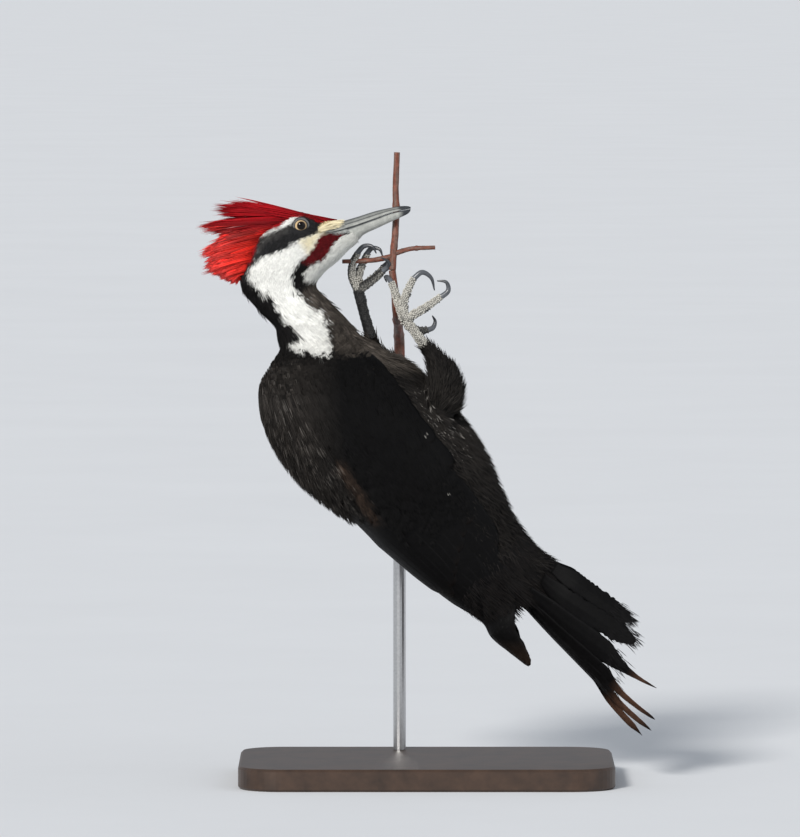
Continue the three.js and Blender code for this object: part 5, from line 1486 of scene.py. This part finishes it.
def scaly(name, path, radii, rings, sides, scutes, swell, light, pads):
    """A tube with scutes on its upper side and knobbly pads below."""
    tube = swept(path, radii, rings, sides)
    spots = tube.mean(axis=1, keepdims=True)
    gap = np.linalg.norm(spots - STEM_LINE[None], axis=2)
    below = unit(STEM_LINE[gap.argmin(axis=1)][:, None] - spots) if pads is None else unit(np.array(pads))
    under = np.sum(unit(tube - spots) * below, axis=2)
    s = np.linspace(0, 1, rings)[:, None]
    step = (s * scutes) % 1.0
    pad = 0.2 * np.abs(np.sin(s * np.pi * scutes * 0.5)) + 0.08 * rng.random((rings, sides))
    share = np.clip(under * 1.3 + 0.75, 0, 1)
    grow = swell * (0.16 * step**2 * (1 - share) + pad * share)
    blotch = rng.random((rings, sides)) * 0.35
    # painted light: pads and scutes grow paler with the piece's light, and darker, as painted shade, where it is low
    mix = np.clip((share * 1.1 + blotch - 0.1) * light - (1 - share) * (step < 0.45) * 0.8, 0, 1)[..., None]
    tint = DARK_SCUTE * (0.4 + 0.6 * light) + (PALE_PAD - DARK_SCUTE) * mix
    toe = closed_tube(name, spots + (tube - spots) * (1 + grow)[..., None], tint)
    rough = toe.data.attributes.new("nub", "FLOAT", "POINT")
    rough.data.foreach_set("value", np.append(share.ravel(), [0, 0]).astype(np.float32))
    return toe


FOOT_SKIN = finish_of("scaly foot skin", roughness=0.62, grain=(900, 0.5), bump=(0.5, 0.0004))
CLAW_HORN = finish_of("claw horn", roughness=0.28, grain=(300, 0.5), bump=(0.15, 0.0001))


def nub_tree():
    """Rounded nubs set close over a piece where its "nub" attribute is high."""
    tree = group_of("nubs", "GeometryNodeTree", {
        "Geometry": "Geometry", "Gap": "Float", "Density": "Float", "Size": "Float", "Seed": "Int",
        "Finish": "Material",
    }, {"Geometry": "Geometry"})
    wire(tree, {
        "start": "NodeGroupInput", "end": "NodeGroupOutput", "mask": "GeometryNodeInputNamedAttribute",
        "spots": "GeometryNodeDistributePointsOnFaces", "nub": "GeometryNodeMeshIcoSphere",
        "spread": "FunctionNodeRandomValue", "scale": "ShaderNodeVectorMath",
        "copies": "GeometryNodeInstanceOnPoints", "whole": "GeometryNodeJoinGeometry",
        "real": "GeometryNodeRealizeInstances", "paint": "GeometryNodeSetMaterial",
    }, {
        "mask:data_type": "FLOAT", "mask.Name": "nub", "spots:distribute_method": "POISSON", "nub.Radius": 1.0,
        "nub.Subdivisions": 1, "spread:data_type": "FLOAT_VECTOR", "spread.0": (0.7, 0.7, 0.6),
        "spread.1": (1.3, 1.3, 1.5), "scale:operation": "SCALE",
    }, [
        "start.Geometry > spots.Mesh", "start.Gap > spots.Distance Min", "start.Density > spots.Density Max",
        "mask.Attribute > spots.Density Factor", "start.Seed > spots.Seed", "start.Seed > spread.Seed",
        "spread.0 > scale.0", "start.Size > scale.Scale", "spots.Points > copies.Points",
        "spots.Rotation > copies.Rotation", "nub.Mesh > copies.Instance", "scale.0 > copies.Scale",
        "start.Geometry > whole.Geometry", "copies.Instances > whole.Geometry", "whole.Geometry > real.Geometry",
        "real.Geometry > paint.Geometry", "start.Finish > paint.Material", "paint.Geometry > end.Geometry",
    ])
    return tree


NUBS = nub_tree()


def with_nubs(obj, finish):
    """Adds the nubs to a piece, leaves a plain mesh and darkens the skin beneath them, as painted shade between the
    nubs.
    """
    grown = obj.modifiers.new("nubs", "NODES")
    grown.node_group = NUBS
    values = {"Gap": NUB["gap"] * MM, "Density": NUB["density"], "Size": NUB["size"] * MM, "Seed": NUB["seed"],
              "Finish": finish}
    for item in NUBS.interface.items_tree:
        if item.in_out == "INPUT" and item.name in values:
            grown[item.identifier] = values[item.name]
    count = len(obj.data.vertices)
    settled(obj)
    shade = obj.data.color_attributes["tint"].data
    tint = np.empty(len(shade) * 4, np.float32)
    shade.foreach_get("color", tint)
    tint = tint.reshape(-1, 4)
    # painted shade: the skin's own points are darkened, the nubs keep their colour
    tint[:count, :3] *= NUB["between"]
    shade.foreach_set("color", tint.ravel())
    return obj


def make_foot(side):
    shank, light, pads = (FEET[side][key] for key in ("shank", "light", "pads"))
    parts = [scaly("shank", [r[:3] for r in shank], [r[3] * 0.97 for r in shank], rings=40, sides=20, scutes=9,
                   swell=0.6, light=light[0], pads=pads)]
    for i, toe in enumerate(FEET[side]["toes"]):
        path = [shank[-1][:3], *toe[:3]]
        parts.append(scaly(f"toe{i}", path, TOE_RADII, rings=56, sides=18, scutes=11, swell=1.0,
                           light=light[i + 1], pads=pads))
        hook = np.array(toe[2:])
        hook[0] += unit(hook[1] - hook[0]) * -0.6
        rings = swept(hook, CLAW_RADII, 26, 14)
        along = np.linspace(0, 1, 26)[:, None, None] * np.ones((14, 1))
        claw = closed_tube(f"hook_{side}_{i + 1}", rings, CLAW_ROOT * (1 - along) + CLAW_TIP * along)
        wear(claw, CLAW_HORN, "claw_horn", f"claw_{side}_{i + 1}")
    wear(with_nubs(joined("scaly_foot_" + side, parts), FOOT_SKIN), FOOT_SKIN, "foot_skin", "foot_" + side)


for side in ("right", "left"):
    make_foot(side)

# %% [markdown]
# The perch is a length of vine: a woody stem with thin reddish bark, knuckles where it branches, and clean cuts.

# %% Perch
BARK = finish_of("vine bark", roughness=0.6, grain=(420, 0.75), bump=(0.6, 0.0006))
RED_BARK, GREY_BARK = np.array([0.20, 0.052, 0.026]), np.array([0.16, 0.11, 0.085])
CUT_WOOD = np.array([0.42, 0.30, 0.17])


def make_vine(node, path, radii, rings):
    tube = swept(path, list(radii), rings, 28)
    spots = tube.mean(axis=1, keepdims=True)
    s = np.linspace(0, 1, rings)[:, None]
    turn = np.linspace(0, 2 * np.pi, 28, endpoint=False)[None]
    folds = 0.05 * np.sin(turn * 7 + 3 * np.sin(s * 9)) + 0.03 * np.sin(turn * 13 - s * 22)
    knuckle = 0.22 * np.exp(-(((s - 0.55) / 0.03) ** 2)) + 0.10 * np.exp(-(((s - 0.2) / 0.02) ** 2))
    tube = spots + (tube - spots) * (1 + folds + knuckle + 0.02 * rng.random((rings, 28)))[..., None]
    mix = np.clip(0.35 + 0.5 * np.sin(turn * 3 + s * 6) * np.sin(s * 17 + 1), 0, 1)[..., None]
    tint = RED_BARK + (GREY_BARK - RED_BARK) * mix
    vine = closed_tube(node.replace("perch", "vine"), tube, tint, (CUT_WOOD, CUT_WOOD))
    wear(vine, BARK, "vine_bark", node)


for node, (path, radii, rings) in VINE.items():
    make_vine(node, path, radii, rings)

# %% [markdown]
# The stand is plain: a rounded board of oiled wood and a steel rod. Both keep their packed forms.

# %% Stand
WOOD = finish_of("oiled wood", (0.055, 0.03, 0.018), roughness=0.4, grain=(60, 0.7), bump=(0.15, 0.0003))
STEEL = finish_of("brushed steel", (0.6, 0.6, 0.6), roughness=0.3, grain=(700, 0.2), Metallic=1.0)
for node, finish in (("stand_base", WOOD), ("stand_rod", STEEL)):
    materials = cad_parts[node].data.materials
    materials.clear()
    materials.append(finish)

# %% [markdown]
# The floor is plain and pale. A broad soft light stands high to the left in front, and a weaker one fills the
# shade from the right.


# %% Floor and light
FLOOR_REACH = 90.0  # so far that the camera never sees its edge


def make_floor():
    cage = bmesh.new()
    bmesh.ops.create_grid(cage, x_segments=2, y_segments=2, size=FLOOR_REACH)
    mesh = bpy.data.meshes.new("floor")
    cage.to_mesh(mesh)
    cage.free()
    floor = placed("floor", mesh)
    pale = finish_of("pale floor", (0.74, 0.755, 0.775), roughness=0.9, grain=(3, 0.03), Specular_IOR_Level=0.0)
    floor.data.materials.append(pale)
    floor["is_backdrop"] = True


def add_sun(name, comes_from, strength, spread, colour=(1, 1, 1)):
    """A soft light as wide as spread degrees of the sky."""
    data = bpy.data.lights.new(name, "SUN")
    data.energy = strength
    data.angle = math.radians(spread)
    data.color = colour
    placed(name, data).rotation_euler = (-Vector(comes_from)).to_track_quat("-Z", "Y").to_euler()


make_floor()
add_sun("key", (-0.62, -1.3, 0.8), 3.0, 12, (1, 0.97, 0.93))
add_sun("fill", (1.2, -0.7, 0.5), 0.45, 60, (0.93, 0.96, 1))
world = bpy.data.worlds.new("studio")
world.use_nodes = True
world.node_tree.nodes["Background"].inputs["Color"].default_value = (0.80, 0.85, 0.92, 1)
world.node_tree.nodes["Background"].inputs["Strength"].default_value = 0.5
bpy.context.scene.world = world
bpy.context.scene.view_settings.view_transform = "Standard"

# %% [markdown]
# Last, the size of the dressed bird is compared with the imported one.

# %% Size and finish
bpy.context.view_layer.update()
made_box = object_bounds()
past = [[round((m - c) / MM, 1) for m, c in zip(*pair)] for pair in zip(made_box, cad_box)]
print("size beyond the packed box, mm:", past)
